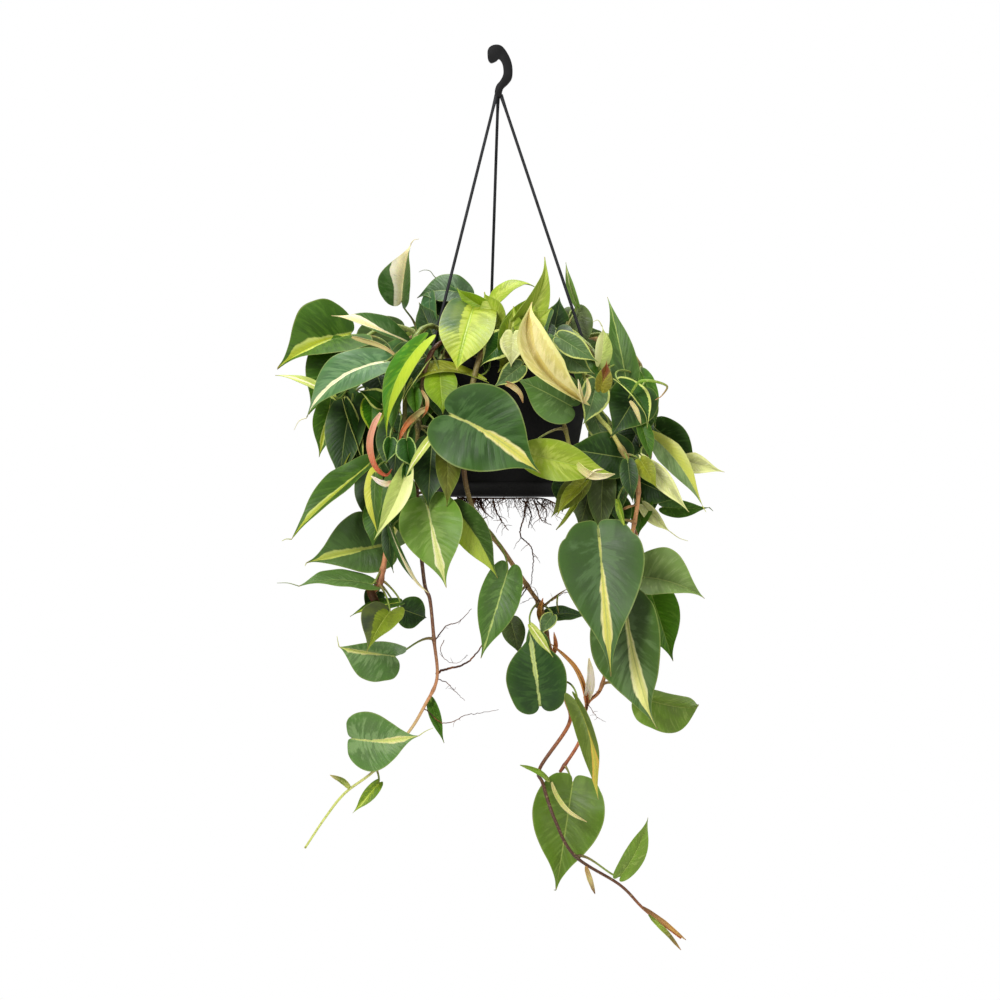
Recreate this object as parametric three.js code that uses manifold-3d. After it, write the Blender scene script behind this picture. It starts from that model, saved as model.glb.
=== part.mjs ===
// A brasil philodendron in a black hanging nursery pot, in millimetres with +Z up.
// The origin is the inner top of the hook, which bears on the bar that carries the pot.
// +Y points away from the viewer.
import * as THREE from "three";
import { mergeVertices } from "three/addons/utils/BufferGeometryUtils.js";
import Module from "manifold-3d";

const wasm = await Module();
wasm.setup();

// Driving dimensions of the pot
const RIM_RADIUS = 75;
const BASE_RADIUS = 52.5;
const POT_HEIGHT = 108;
const RIM_TOP = -242.4;
const POT_AXIS_X = 3.2;
const WALL = 1.6;
const LIP_HEIGHT = 7;
const LIP_OVERHANG = 2;
const LIP_THICKNESS = 1.5;
const POT_SEGMENTS = 40;
const SOIL_DEPTH_BELOW_RIM = 9.5;
const DRAIN_HOLE_RADIUS = 4.5;
const DRAIN_RING_RADIUS = 36;
const DRAIN_HOLES = 8;

// Driving dimensions of the hanger
const HOOK_THICKNESS = 6;
const HOOK_BEVEL = 0.8;
const STRAND_RADIUS = 1.2;
const STRAND_SIDES = 8;
const STRAND_TOP_RADIUS = 2.1;
const STRAND_FIRST_ANGLE = 98.8;
const CLIP_WIDTH = 7;
const CLIP_LEG = 9;
const CLIP_THICKNESS = 1.6;

// Driving dimensions of the plant
const STEM_RADIUS = 1.7;
const STEM_SIDES = 6;
const STEM_STEP = 11;
const FOOT_RISE = 7;
const PETIOLE_RADIUS = 0.95;
const PETIOLE_SIDES = 5;
const PETIOLE_STEPS = 5;
const PETIOLE_LIFT = 12;
const BLADE_THICKNESS = 0.6;
const ROOT_RADIUS = 0.8;
const ROOT_SIDES = 5;
const ROOT_STEP = 9;
const GAP = 0.3;

const BASE_BOTTOM = RIM_TOP - POT_HEIGHT;
const SOIL_TOP = RIM_TOP - SOIL_DEPTH_BELOW_RIM;

// The plant is laid out as it is seen in the picture, a square 1000 units wide. A point is
// [across, down, depth]: its place in the picture, and how far behind the pot's axis it is in mm.
// The rim, 150 mm across, spans 187 picture units on the axis, which sets the scale.
const MM_PER_UNIT = 0.8;
const ORIGIN_ACROSS = 499;
const ORIGIN_DOWN = 59;
const EYE = new THREE.Vector3(0.8, -2400, -352.8);

function depthScale(depth) {
  return (depth - EYE.y) / -EYE.y;
}

function place([across, down, depth]) {
  const x = (across - ORIGIN_ACROSS) * MM_PER_UNIT;
  const z = (ORIGIN_DOWN - down) * MM_PER_UNIT;
  return new THREE.Vector3(x, 0, z).sub(EYE).multiplyScalar(depthScale(depth)).add(EYE);
}

// Half outlines of a heart-shaped blade, from its lobes to its drip tip. A row is
// [margin, halfWidth, midrib]: where the margin and the midrib are along the blade, as parts of
// its length, and how wide the half is there, as a part of its width.
const BLADE_ROWS = [
  [-0.125, 0.135, 0.012],
  [-0.11, 0.25, 0.022],
  [0.08, 0.44, 0.06],
  [0.4, 0.495, 0.21],
  [0.56, 0.43, 0.34],
  [0.82, 0.15, 0.67],
  [0.92, 0.045, 0.84],
];

// The stems, each a route from its foot in the soil over the rim
const VINES = {
  vine_long_left: [
    [478, 371, -22], [462, 346, -50], [442, 342, -86], [426, 366, -98], [418, 430, -94],
    [417, 500, -86], [424, 580, -84], [430, 600, -86], [434, 640, -90], [437, 678, -96],
    [425, 705, -94], [408, 733, -92], [375, 770, -90], [345, 793, -88], [325, 818, -86],
    [305, 848, -84],
  ],
  vine_short_left: [
    [455, 371, -10], [430, 342, -22], [408, 348, -46], [398, 400, -62], [394, 480, -76],
    [387, 545, -90], [380, 580, -90], [371, 595, -88],
  ],
  vine_centre: [
    [500, 371, -40], [492, 345, -72], [480, 356, -100], [468, 410, -108], [464, 470, -100],
    [474, 512, -86], [486, 530, -74], [500, 546, -72], [515, 568, -72], [530, 590, -72],
    [541, 608, -72], [548, 640, -72], [557, 672, -72], [566, 700, -70], [569, 724, -68],
    [540, 768, -72], [543, 784, -100], [555, 820, -116], [575, 856, -114], [620, 885, -98],
    [645, 910, -90], [681, 938, -86],
  ],
  vine_right: [
    [545, 371, -28], [562, 344, -62], [582, 368, -84], [596, 412, -92], [610, 430, -95],
    [625, 455, -94], [637, 475, -90], [638, 500, -86], [632, 535, -82], [620, 600, -70],
    [608, 660, -66], [600, 690, -70], [587, 705, -74], [580, 740, -76], [560, 772, -78],
  ],
  vine_far_left: [
    [455, 371, 8], [428, 340, 14], [395, 326, 14], [366, 338, 4], [352, 370, -8], [352, 420, -16],
    [358, 470, -14], [370, 520, -10], [378, 546, -8],
  ],
  vine_mid_left: [
    [468, 371, -30], [450, 338, -44], [430, 326, -66], [414, 340, -84], [406, 380, -92],
    [405, 430, -96], [410, 475, -92],
  ],
  vine_front: [
    [512, 371, -48], [520, 348, -76], [536, 360, -90], [556, 400, -88], [568, 440, -86],
    [576, 480, -84],
  ],
  vine_far_right: [
    [552, 371, 8], [578, 340, 6], [610, 336, -6], [638, 362, -22], [650, 410, -34], [649, 460, -40],
    [641, 510, -42], [631, 560, -38], [627, 590, -32],
  ],
  vine_top_left: [
    [494, 371, -6], [478, 342, -12], [464, 322, -10], [452, 310, -6],
  ],
  vine_top_right: [
    [530, 371, 10], [548, 345, -4], [568, 332, -20], [588, 345, -40], [598, 362, -58],
  ],
  vine_back_left: [
    [478, 371, 32], [452, 340, 66], [430, 348, 94], [416, 400, 108], [412, 470, 112],
    [410, 546, 106],
  ],
  vine_back: [
    [502, 371, 40], [503, 344, 78], [504, 358, 104], [508, 410, 114], [512, 470, 116],
  ],
  vine_back_right: [
    [530, 371, 32], [556, 340, 66], [584, 350, 90], [600, 410, 102], [604, 480, 104],
    [604, 550, 100], [608, 610, 96],
  ],
};

// The blades. base is where the petiole ends, tip is the drip tip, width is in picture units.
// roll turns the blade about its midrib and fold lifts its halves, both in degrees; arch and sway
// bend it out of its plane and to its side, as parts of its length; swell moves its widest part
// towards its base; face turns its front from the viewer, in degrees.
const BLADE_DEFAULTS = { sway: 0, swell: 0.2, face: 0 };
const BLADES = [
  { name: "leaf_upright_left", vine: "vine_far_left", look: "cream",
    base: [402, 300, -10], tip: [410, 244, -20], width: 52,
    roll: -26, fold: 44, arch: 0.05 },
  { name: "leaf_shoulder", vine: "vine_far_left", look: "green",
    base: [350, 335, 0], tip: [278, 366, -42], width: 88,
    roll: 30, fold: 30, arch: 0.08 },
  { name: "leaf_shoulder_inner", vine: "vine_far_left", look: "green",
    base: [402, 340, -34], tip: [332, 314, -44], width: 34,
    roll: 50, fold: 30, arch: 0.08, sway: 0.08 },
  { name: "leaf_blue_left", vine: "vine_mid_left", look: "blueGreen",
    base: [384, 362, -76], tip: [306, 416, -94], width: 52,
    roll: 36, fold: 12, arch: 0.08, sway: -0.09 },
  { name: "leaf_hanging_left", vine: "vine_far_left", look: "green",
    base: [331, 404, -34], tip: [319, 457, -44], width: 30,
    roll: 0, fold: 15, arch: 0.05 },
  { name: "leaf_bright_left", vine: "vine_mid_left", look: "lime",
    base: [422, 343, -96], tip: [386, 438, -114], width: 28,
    roll: 20, fold: 18, arch: 0.1, sway: -0.07, swell: 0.3 },
  { name: "leaf_dark_hang_a", vine: "vine_far_left", look: "dark",
    base: [352, 402, -38], tip: [340, 487, -54], width: 44,
    roll: 15, fold: 12, arch: 0.08 },
  { name: "leaf_dark_point", vine: "vine_short_left", look: "green",
    base: [368, 466, -76], tip: [290, 537, -100], width: 46,
    roll: 50, fold: 25, arch: 0.06, sway: 0.06 },
  { name: "leaf_dark_wide", vine: "vine_short_left", look: "lime",
    base: [381, 546, -54], tip: [307, 562, -86], width: 76,
    roll: 22, fold: 28, arch: 0.08, sway: 0.03 },
  { name: "leaf_flat_left", vine: "vine_short_left", look: "green",
    base: [370, 584, -98], tip: [299, 584, -116], width: 44,
    roll: 66, fold: 6, arch: 0.06, swell: 0.1 },
  { name: "leaf_cream_hang", vine: "vine_long_left", look: "lime",
    base: [407, 470, -116], tip: [374, 539, -142], width: 25,
    roll: 8, fold: 20, arch: 0.06, sway: 0.05, swell: 0.1 },
  { name: "leaf_big_hang", vine: "vine_long_left", look: "green",
    base: [427, 505, -102], tip: [446, 587, -122], width: 66,
    roll: 0, fold: 14, arch: 0.08, swell: 0.3 },
  { name: "leaf_lime_hang", vine: "vine_long_left", look: "lime",
    base: [456, 510, -90], tip: [497, 578, -106], width: 38,
    roll: 10, fold: 22, arch: 0.08, sway: 0.06, swell: 0.1 },
  { name: "leaf_front_big", vine: "vine_centre", look: "dark",
    base: [451, 415, -124], tip: [540, 473, -142], width: 92,
    roll: 0, fold: 10, arch: 0.06, sway: 0.045 },
  { name: "leaf_lime_twist", vine: "vine_front", look: "lime",
    base: [531, 455, -114], tip: [613, 474, -122], width: 44,
    roll: 0, fold: 22, arch: 0.06 },
  { name: "leaf_cream_up", vine: "vine_right", look: "cream",
    base: [572, 396, -118], tip: [533, 301, -100], width: 50,
    roll: 28, fold: 34, arch: 0.05, sway: 0.26, swell: -0.2 },
  { name: "leaf_green_under_cream", vine: "vine_front", look: "green",
    base: [571, 406, -97], tip: [517, 379, -103], width: 54,
    roll: 10, fold: 10, arch: 0.06 },
  { name: "leaf_lime_face", vine: "vine_top_left", look: "lime",
    base: [474, 306, -52], tip: [457, 368, -118], width: 56,
    roll: 6, fold: 12, arch: 0.06, swell: -0.5 },
  { name: "leaf_lime_up", vine: "vine_centre", look: "lime",
    base: [501, 338, -84], tip: [546, 257, -72], width: 34,
    roll: 30, fold: 30, arch: 0.08, sway: -0.1, swell: 0 },
  { name: "leaf_pointed_up", vine: "vine_far_right", look: "green",
    base: [630, 405, -58], tip: [608, 296, -40], width: 31,
    roll: 10, fold: 14, arch: 0.06, swell: 0.3 },
  { name: "leaf_dark_right", vine: "vine_far_right", look: "dark",
    base: [655, 428, -20], tip: [697, 464, -30], width: 38,
    roll: 0, fold: 10, arch: 0.06, swell: 0 },
  { name: "leaf_lime_right", vine: "vine_far_right", look: "lime",
    base: [650, 435, -62], tip: [702, 506, -78], width: 28,
    roll: 12, fold: 20, arch: 0.06, sway: 0.08 },
  { name: "leaf_cream_far_right", vine: "vine_far_right", look: "cream",
    base: [682, 460, -50], tip: [724, 472, -66], width: 23,
    roll: 0, fold: 20, arch: 0.05, swell: 0.4 },
  { name: "leaf_right_big", vine: "vine_right", look: "dark",
    base: [599, 537, -104], tip: [611, 676, -124], width: 88,
    roll: 0, fold: 10, arch: 0.06, swell: 0.75 },
  { name: "leaf_right_side", vine: "vine_far_right", look: "green",
    base: [638, 577, -58], tip: [704, 597, -80], width: 66,
    roll: -27, fold: 32, arch: 0.06, sway: 0.04 },
  { name: "leaf_right_under", vine: "vine_right", look: "dark",
    base: [626, 608, -82], tip: [655, 729, -100], width: 92,
    roll: 37, fold: 12, arch: 0.05, swell: 0.5 },
  { name: "leaf_oval_right", vine: "vine_right", look: "green",
    base: [641, 697, -64], tip: [699, 708, -58], width: 57,
    roll: 32, fold: 30, arch: 0.08, swell: -0.7 },
  { name: "leaf_centre_hang", vine: "vine_centre", look: "green",
    base: [507, 573, -94], tip: [481, 658, -106], width: 42,
    roll: 0, fold: 12, arch: 0.06 },
  { name: "leaf_dark_updown", vine: "vine_centre", look: "dark",
    base: [540, 704, -88], tip: [530, 634, -98], width: 62,
    roll: 0, fold: 12, arch: 0.06, swell: -0.3 },
  { name: "leaf_fold_lime", vine: "vine_centre", look: "olive",
    base: [577, 703, -108], tip: [596, 800, -116], width: 30,
    roll: 48, fold: 20, arch: 0.05, sway: 0.16 },
  { name: "leaf_low_heart", vine: "vine_right", look: "green",
    base: [572, 787, -84], tip: [556, 890, -98], width: 74,
    roll: 0, fold: 12, arch: 0.05, swell: 0.35 },
  { name: "leaf_low_fold", vine: "vine_centre", look: "green",
    base: [622, 874, -112], tip: [648, 818, -118], width: 23,
    roll: 0, fold: 20, arch: 0.06, sway: -0.05, swell: 0 },
  { name: "leaf_bowl_left", vine: "vine_long_left", look: "green",
    base: [394, 656, -104], tip: [340, 648, -132], width: 58,
    roll: -23, fold: 36, arch: 0.06, sway: -0.03, swell: -0.45 },
  { name: "leaf_lime_under", vine: "vine_short_left", look: "olive",
    base: [389, 613, -112], tip: [367, 650, -150], width: 47,
    roll: 20, fold: 30, arch: 0.05, swell: 0 },
  { name: "leaf_heart_left", vine: "vine_long_left", look: "green",
    base: [355, 739, -96], tip: [418, 736, -116], width: 62,
    roll: 0, fold: 14, arch: 0.06, sway: -0.04 },
  { name: "leaf_back_a", vine: "vine_back_left", look: "dark",
    base: [404, 330, 96], tip: [368, 392, 124], width: 76,
    roll: 0, fold: 12, arch: 0.08, face: 205 },
  { name: "leaf_back_c", vine: "vine_back", look: "green",
    base: [512, 344, 110], tip: [498, 416, 146], width: 84,
    roll: 0, fold: 12, arch: 0.08, face: 180 },
  { name: "leaf_back_e", vine: "vine_back_right", look: "green",
    base: [600, 356, 92], tip: [624, 414, 118], width: 62,
    roll: 0, fold: 12, arch: 0.08, face: 150 },
  { name: "leaf_back_g", vine: "vine_back", look: "lime",
    base: [470, 404, 122], tip: [462, 472, 146], width: 70,
    roll: 0, fold: 12, arch: 0.08, face: 185 },
  { name: "leaf_back_i", vine: "vine_back_right", look: "dark",
    base: [612, 424, 112], tip: [630, 494, 134], width: 66,
    roll: 0, fold: 12, arch: 0.08, face: 160 },
];

const LOOKS = {
  green: { color: 0x4f7c2f, roughness: 0.42 },
  dark: { color: 0x35552f, roughness: 0.4 },
  lime: { color: 0xa3bd3a, roughness: 0.45 },
  cream: { color: 0xe3dc9a, roughness: 0.5 },
  blueGreen: { color: 0x5c8560, roughness: 0.42 },
  olive: { color: 0x7d8a36, roughness: 0.45 },
  stem: { color: 0x8a6238, roughness: 0.6 },
  root: { color: 0x6b4128, roughness: 0.85 },
  soil: { color: 0x2b2119, roughness: 1 },
  plastic: { color: 0x131315, roughness: 0.38 },
};

function mesh(name, geometry, look) {
  const material = new THREE.MeshStandardMaterial({ ...LOOKS[look], metalness: 0 });
  const result = new THREE.Mesh(geometry, material);
  result.name = name;
  return result;
}

function solidOf(geometry) {
  const bare = geometry.index ? geometry.clone() : geometry;
  bare.deleteAttribute("normal");
  bare.deleteAttribute("uv");
  const merged = mergeVertices(bare, 1e-4);
  return new wasm.Manifold(new wasm.Mesh({
    numProp: 3,
    vertProperties: new Float32Array(merged.attributes.position.array),
    triVerts: new Uint32Array(merged.index.array),
  }));
}

function geometryOf(solid) {
  const result = solid.getMesh();
  const geometry = new THREE.BufferGeometry();
  geometry.setAttribute("position", new THREE.BufferAttribute(result.vertProperties, 3));
  geometry.setIndex(new THREE.BufferAttribute(result.triVerts, 1));
  geometry.computeVertexNormals();
  return geometry;
}

function joined(solids) {
  return solids.reduce((whole, solid) => whole.add(solid));
}

function tube(curve, radius, sides, steps) {
  const corners = [];
  for (let corner = 0; corner < sides; corner += 1) {
    const angle = (2 * Math.PI * corner) / sides;
    corners.push(new THREE.Vector2(radius * Math.cos(angle), radius * Math.sin(angle)));
  }
  const section = new THREE.Shape(corners);
  const options = { steps, bevelEnabled: false, extrudePath: curve };
  return solidOf(new THREE.ExtrudeGeometry(section, options));
}

function smoothCurve(points) {
  return new THREE.CatmullRomCurve3(points, false, "catmullrom", 0.5);
}

// The pot: a tapered shell with a turned-over lip and drain holes in its floor
function innerRadius(z) {
  const top = RIM_RADIUS - LIP_OVERHANG - WALL;
  const bottom = BASE_RADIUS - WALL;
  return bottom + ((top - bottom) * (z - BASE_BOTTOM)) / POT_HEIGHT;
}

function latheAboutPotAxis(profile) {
  const points = profile.map(([radius, z]) => new THREE.Vector2(radius, z));
  const geometry = new THREE.LatheGeometry(points, POT_SEGMENTS);
  geometry.rotateX(Math.PI / 2);
  geometry.translate(POT_AXIS_X, 0, 0);
  return geometry;
}

function potSolid() {
  const lipBottom = RIM_TOP - LIP_HEIGHT;
  const floorTop = BASE_BOTTOM + WALL;
  const shell = solidOf(latheAboutPotAxis([
    [0, BASE_BOTTOM],
    [BASE_RADIUS, BASE_BOTTOM],
    [innerRadius(lipBottom) + WALL, lipBottom + LIP_THICKNESS],
    [RIM_RADIUS - LIP_THICKNESS, lipBottom + LIP_THICKNESS],
    [RIM_RADIUS - LIP_THICKNESS, lipBottom],
    [RIM_RADIUS, lipBottom],
    [RIM_RADIUS, RIM_TOP - LIP_THICKNESS / 2],
    [RIM_RADIUS - LIP_THICKNESS / 2, RIM_TOP],
    [innerRadius(RIM_TOP), RIM_TOP],
    [innerRadius(floorTop), floorTop],
    [0, floorTop],
  ]));
  const holes = [new THREE.Vector2(POT_AXIS_X, 0)];
  for (let hole = 0; hole < DRAIN_HOLES; hole += 1) {
    const angle = (2 * Math.PI * hole) / DRAIN_HOLES;
    const x = POT_AXIS_X + DRAIN_RING_RADIUS * Math.cos(angle);
    holes.push(new THREE.Vector2(x, DRAIN_RING_RADIUS * Math.sin(angle)));
  }
  return holes.reduce((solid, centre) => {
    const drill = new THREE.CylinderGeometry(DRAIN_HOLE_RADIUS, DRAIN_HOLE_RADIUS, 4 * WALL, 12);
    drill.rotateX(Math.PI / 2);
    drill.translate(centre.x, centre.y, BASE_BOTTOM);
    return solid.subtract(solidOf(drill));
  }, shell);
}

function soilSolid() {
  const bottom = BASE_BOTTOM + WALL + GAP;
  return solidOf(latheAboutPotAxis([
    [0, bottom],
    [innerRadius(bottom) - GAP, bottom],
    [innerRadius(SOIL_TOP) - GAP, SOIL_TOP],
    [0, SOIL_TOP],
  ]));
}

// The hanger: a moulded hook over three strands, each with a clip that straddles the lip
const HOOK_OUTLINE = [
  [-9.2, 2.5], [-8.8, 7.4], [-5.8, 10.4], [-1, 11.2], [3.2, 9.2], [7.2, 3.6], [10, -3],
  [10.9, -9.6], [10.2, -15.6], [7, -20.2], [3.6, -23.4], [2.4, -27], [2.4, -30.4],
  [-3.4, -30.4], [-3.3, -25.4], [-1.8, -21], [1, -17.6], [3.2, -13.2], [3.5, -8.8],
  [2.6, -3.6], [0, 0], [-2.4, -1.8], [-6.2, -3.2], [-8.4, -1.2],
];
const HOOK_BOTTOM = -30.4;

function hookSolid() {
  const outline = new THREE.Shape(HOOK_OUTLINE.map(([x, z]) => new THREE.Vector2(x, z)));
  const geometry = new THREE.ExtrudeGeometry(outline, {
    depth: HOOK_THICKNESS - 2 * HOOK_BEVEL,
    bevelThickness: HOOK_BEVEL,
    bevelSize: HOOK_BEVEL,
    bevelOffset: -HOOK_BEVEL,
    bevelSegments: 1,
    steps: 1,
  });
  geometry.translate(0, 0, -HOOK_THICKNESS / 2 + HOOK_BEVEL);
  geometry.rotateX(Math.PI / 2);
  return solidOf(geometry);
}

// A clip is drawn across the lip, radius from the pot's axis against height, and turned to its angle.
function clipSolid(angle) {
  const inner = innerRadius(RIM_TOP) - GAP;
  const outer = RIM_RADIUS + GAP;
  const top = RIM_TOP + GAP;
  const legBottom = RIM_TOP - CLIP_LEG;
  const innerAtBottom = innerRadius(legBottom) - GAP;
  const outline = new THREE.Shape([
    new THREE.Vector2(outer + CLIP_THICKNESS, legBottom),
    new THREE.Vector2(outer + CLIP_THICKNESS, top + CLIP_THICKNESS),
    new THREE.Vector2(inner - CLIP_THICKNESS, top + CLIP_THICKNESS),
    new THREE.Vector2(innerAtBottom - CLIP_THICKNESS, legBottom),
    new THREE.Vector2(innerAtBottom, legBottom),
    new THREE.Vector2(inner, top),
    new THREE.Vector2(outer, top),
    new THREE.Vector2(outer, legBottom),
  ]);
  const geometry = new THREE.ExtrudeGeometry(outline, { depth: CLIP_WIDTH, bevelEnabled: false });
  geometry.translate(0, 0, -CLIP_WIDTH / 2);
  geometry.rotateX(Math.PI / 2);
  geometry.rotateZ(angle);
  geometry.translate(POT_AXIS_X, 0, 0);
  return solidOf(geometry);
}

function strandSolid(angle) {
  const direction = new THREE.Vector3(Math.cos(angle), Math.sin(angle), 0);
  const top = direction.clone().multiplyScalar(STRAND_TOP_RADIUS);
  top.x -= 0.4;
  top.z = HOOK_BOTTOM - GAP - STRAND_RADIUS / 2;
  const bottom = direction.clone().multiplyScalar((innerRadius(RIM_TOP) + RIM_RADIUS) / 2);
  bottom.x += POT_AXIS_X;
  bottom.z = RIM_TOP + GAP + CLIP_THICKNESS / 2;
  const strand = tube(new THREE.LineCurve3(top, bottom), STRAND_RADIUS, STRAND_SIDES, 1);
  return strand.add(clipSolid(angle));
}

// A blade hangs from its base. Its frame is its midrib, its side and its upper face's normal.
function bladeFrame(blade) {
  const base = place(blade.base);
  const midrib = place(blade.tip).sub(base);
  const length = midrib.length();
  midrib.normalize();
  const face = THREE.MathUtils.degToRad(blade.face);
  const front = new THREE.Vector3(Math.sin(face), -Math.cos(face), 0);
  const flat = front.clone().addScaledVector(midrib, -front.dot(midrib)).normalize();
  const flatSide = new THREE.Vector3().crossVectors(flat, midrib);
  const roll = THREE.MathUtils.degToRad(blade.roll);
  const normal = flat.multiplyScalar(Math.cos(roll)).addScaledVector(flatSide, -Math.sin(roll));
  const side = new THREE.Vector3().crossVectors(normal, midrib);
  const width = blade.width * MM_PER_UNIT * depthScale(blade.base[2]);
  return { base, midrib, normal, side, length, width };
}

function bladePoint(blade, frame, along, across) {
  const bend = 4 * along * (1 - along) * frame.length;
  const fold = THREE.MathUtils.degToRad(blade.fold);
  return frame.base.clone()
    .addScaledVector(frame.midrib, along * frame.length)
    .addScaledVector(frame.side, across * Math.cos(fold) + blade.sway * bend)
    .addScaledVector(frame.normal, Math.abs(across) * Math.sin(fold) + blade.arch * bend);
}

// The mid surface of a blade: a point at its base, a left, middle and right point a row, its tip
function bladeSurface(blade, frame) {
  const swollen = (along) => (along > 0 ? along * (1 - blade.swell * (1 - along)) : along);
  const points = [bladePoint(blade, frame, 0, 0)];
  for (const [margin, halfWidth, midrib] of BLADE_ROWS) {
    const reach = halfWidth * frame.width;
    points.push(bladePoint(blade, frame, swollen(margin), reach));
    points.push(bladePoint(blade, frame, swollen(midrib), 0));
    points.push(bladePoint(blade, frame, swollen(margin), -reach));
  }
  points.push(bladePoint(blade, frame, 1, 0));
  return points;
}

function bladeTriangles() {
  const last = 3 * BLADE_ROWS.length + 1;
  const right = (row) => 3 * row + 1;
  const middle = (row) => 3 * row + 2;
  const left = (row) => 3 * row + 3;
  const triangles = [[0, middle(0), right(0)], [0, left(0), middle(0)]];
  for (let row = 0; row < BLADE_ROWS.length - 1; row += 1) {
    const next = row + 1;
    triangles.push([middle(row), middle(next), right(next)], [middle(row), right(next), right(row)]);
    triangles.push([left(row), left(next), middle(next)], [left(row), middle(next), middle(row)]);
  }
  const end = BLADE_ROWS.length - 1;
  triangles.push([middle(end), last, right(end)], [left(end), last, middle(end)]);
  return triangles;
}

function bladeRim() {
  const rows = [...BLADE_ROWS.keys()];
  const rightEdge = rows.map((row) => 3 * row + 1);
  const leftEdge = rows.map((row) => 3 * row + 3).reverse();
  return [0, ...rightEdge, 3 * BLADE_ROWS.length + 1, ...leftEdge];
}

function vertexNormals(points, triangles) {
  const normals = points.map(() => new THREE.Vector3());
  for (const [a, b, c] of triangles) {
    const edge = points[b].clone().sub(points[a]);
    const area = edge.cross(points[c].clone().sub(points[a]));
    [a, b, c].forEach((corner) => normals[corner].add(area));
  }
  return normals.map((normal) => normal.normalize());
}

// A blade as a thin closed solid: its mid surface, moved half its thickness up and down, and its rim
function bladeGeometry(blade) {
  const points = bladeSurface(blade, bladeFrame(blade));
  const triangles = bladeTriangles();
  const normals = vertexNormals(points, triangles);
  const upper = points.map((point, i) => point.clone().addScaledVector(normals[i], BLADE_THICKNESS / 2));
  const lower = points.map((point, i) => point.clone().addScaledVector(normals[i], -BLADE_THICKNESS / 2));
  const faces = triangles.concat(triangles.map(([a, b, c]) => [c, b, a].map((i) => i + points.length)));
  const rim = bladeRim();
  rim.forEach((start, i) => {
    const end = rim[(i + 1) % rim.length];
    faces.push([start, end, end + points.length], [start, end + points.length, start + points.length]);
  });
  const geometry = new THREE.BufferGeometry().setFromPoints([...upper, ...lower]);
  geometry.setIndex(faces.flat());
  geometry.computeVertexNormals();
  return geometry;
}

function vineCurve(route) {
  const points = route.map(place);
  points[0].z = SOIL_TOP + GAP;
  const rise = points[0].clone();
  rise.z += FOOT_RISE;
  points.splice(1, 0, rise);
  return smoothCurve(points);
}

// A petiole leaves the stem nearest to a point just above the blade's base, and ends behind the base.
function petioleSolid(blade, stemPoints) {
  const { base, midrib, normal } = bladeFrame(blade);
  const aim = base.clone();
  aim.z += PETIOLE_LIFT;
  const inner = stemPoints.slice(2, -1);
  const start = inner.reduce((best, point) => (point.distanceTo(aim) < best.distanceTo(aim) ? point : best));
  const end = base.clone().addScaledVector(normal, -(BLADE_THICKNESS / 2 + GAP + PETIOLE_RADIUS));
  const reach = start.distanceTo(end);
  const leaving = start.clone().lerp(end, 0.3);
  leaving.z += 0.25 * reach;
  const arriving = end.clone().addScaledVector(normal, -0.1 * reach).addScaledVector(midrib, -0.3 * reach);
  const curve = new THREE.CubicBezierCurve3(start, leaving, arriving, end);
  return tube(curve, PETIOLE_RADIUS, PETIOLE_SIDES, PETIOLE_STEPS);
}

function vineSolid(name) {
  const curve = vineCurve(VINES[name]);
  const steps = Math.round(curve.getLength() / STEM_STEP);
  const stem = tube(curve, STEM_RADIUS, STEM_SIDES, steps);
  const stemPoints = curve.getSpacedPoints(steps);
  const petioles = BLADES.filter((blade) => blade.vine === name)
    .map((blade) => petioleSolid({ ...BLADE_DEFAULTS, ...blade }, stemPoints));
  return joined([stem, ...petioles]);
}

// Roots that grew out of a drain hole and hang under the floor, in mm from the floor's middle
const ROOT_RUNNER = [
  [-36, 0, 1.9], [-36, 0, -1], [-34, -6, -2], [-20, -24, -2], [4, -32, -2.5], [30, -26, -4], [44, -22, -12],
];
const ROOT_BRANCHES = [
  [[-33, -8, -2], [-36, -14, -9], [-30, -18, -16]],
  [[-27, -15, -2], [-25, -20, -12], [-31, -22, -22]],
  [[-18, -25, -2], [-16, -28, -10], [-8, -30, -17]],
  [[-8, -28, -2], [-4, -33, -14], [4, -32, -26]],
  [[4, -32, -2], [9, -36, -14], [13, -34, -30], [18, -32, -44], [17, -30, -66]],
  [[16, -30, -3], [22, -32, -12], [20, -30, -24]],
  [[27, -27, -3], [34, -30, -10], [33, -28, -20]],
];

function rootCurve(points) {
  const floor = BASE_BOTTOM - GAP;
  return smoothCurve(points.map(([x, y, z]) => new THREE.Vector3(POT_AXIS_X + x, y, floor + z)));
}

function rootsSolid() {
  const roots = [ROOT_RUNNER, ...ROOT_BRANCHES].map((points) => {
    const curve = rootCurve(points);
    return tube(curve, ROOT_RADIUS, ROOT_SIDES, Math.ceil(curve.getLength() / ROOT_STEP) + 1);
  });
  return joined(roots);
}

const plant = new THREE.Group();
plant.name = "potted_brasil_philodendron";
plant.add(mesh("pot", geometryOf(potSolid()), "plastic"));
plant.add(mesh("soil", geometryOf(soilSolid()), "soil"));
plant.add(mesh("hanger_hook", geometryOf(hookSolid()), "plastic"));
["back", "left", "right"].forEach((side, turn) => {
  const angle = THREE.MathUtils.degToRad(STRAND_FIRST_ANGLE + 120 * turn);
  plant.add(mesh(`hanger_strand_${side}`, geometryOf(strandSolid(angle)), "plastic"));
});
plant.add(mesh("drain_roots", geometryOf(rootsSolid()), "root"));
Object.keys(VINES).forEach((name) => {
  plant.add(mesh(name, geometryOf(vineSolid(name)), "stem"));
});
BLADES.forEach((blade) => {
  plant.add(mesh(blade.name, bladeGeometry({ ...BLADE_DEFAULTS, ...blade }), blade.look));
});

export default plant;
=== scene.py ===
import math

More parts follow.
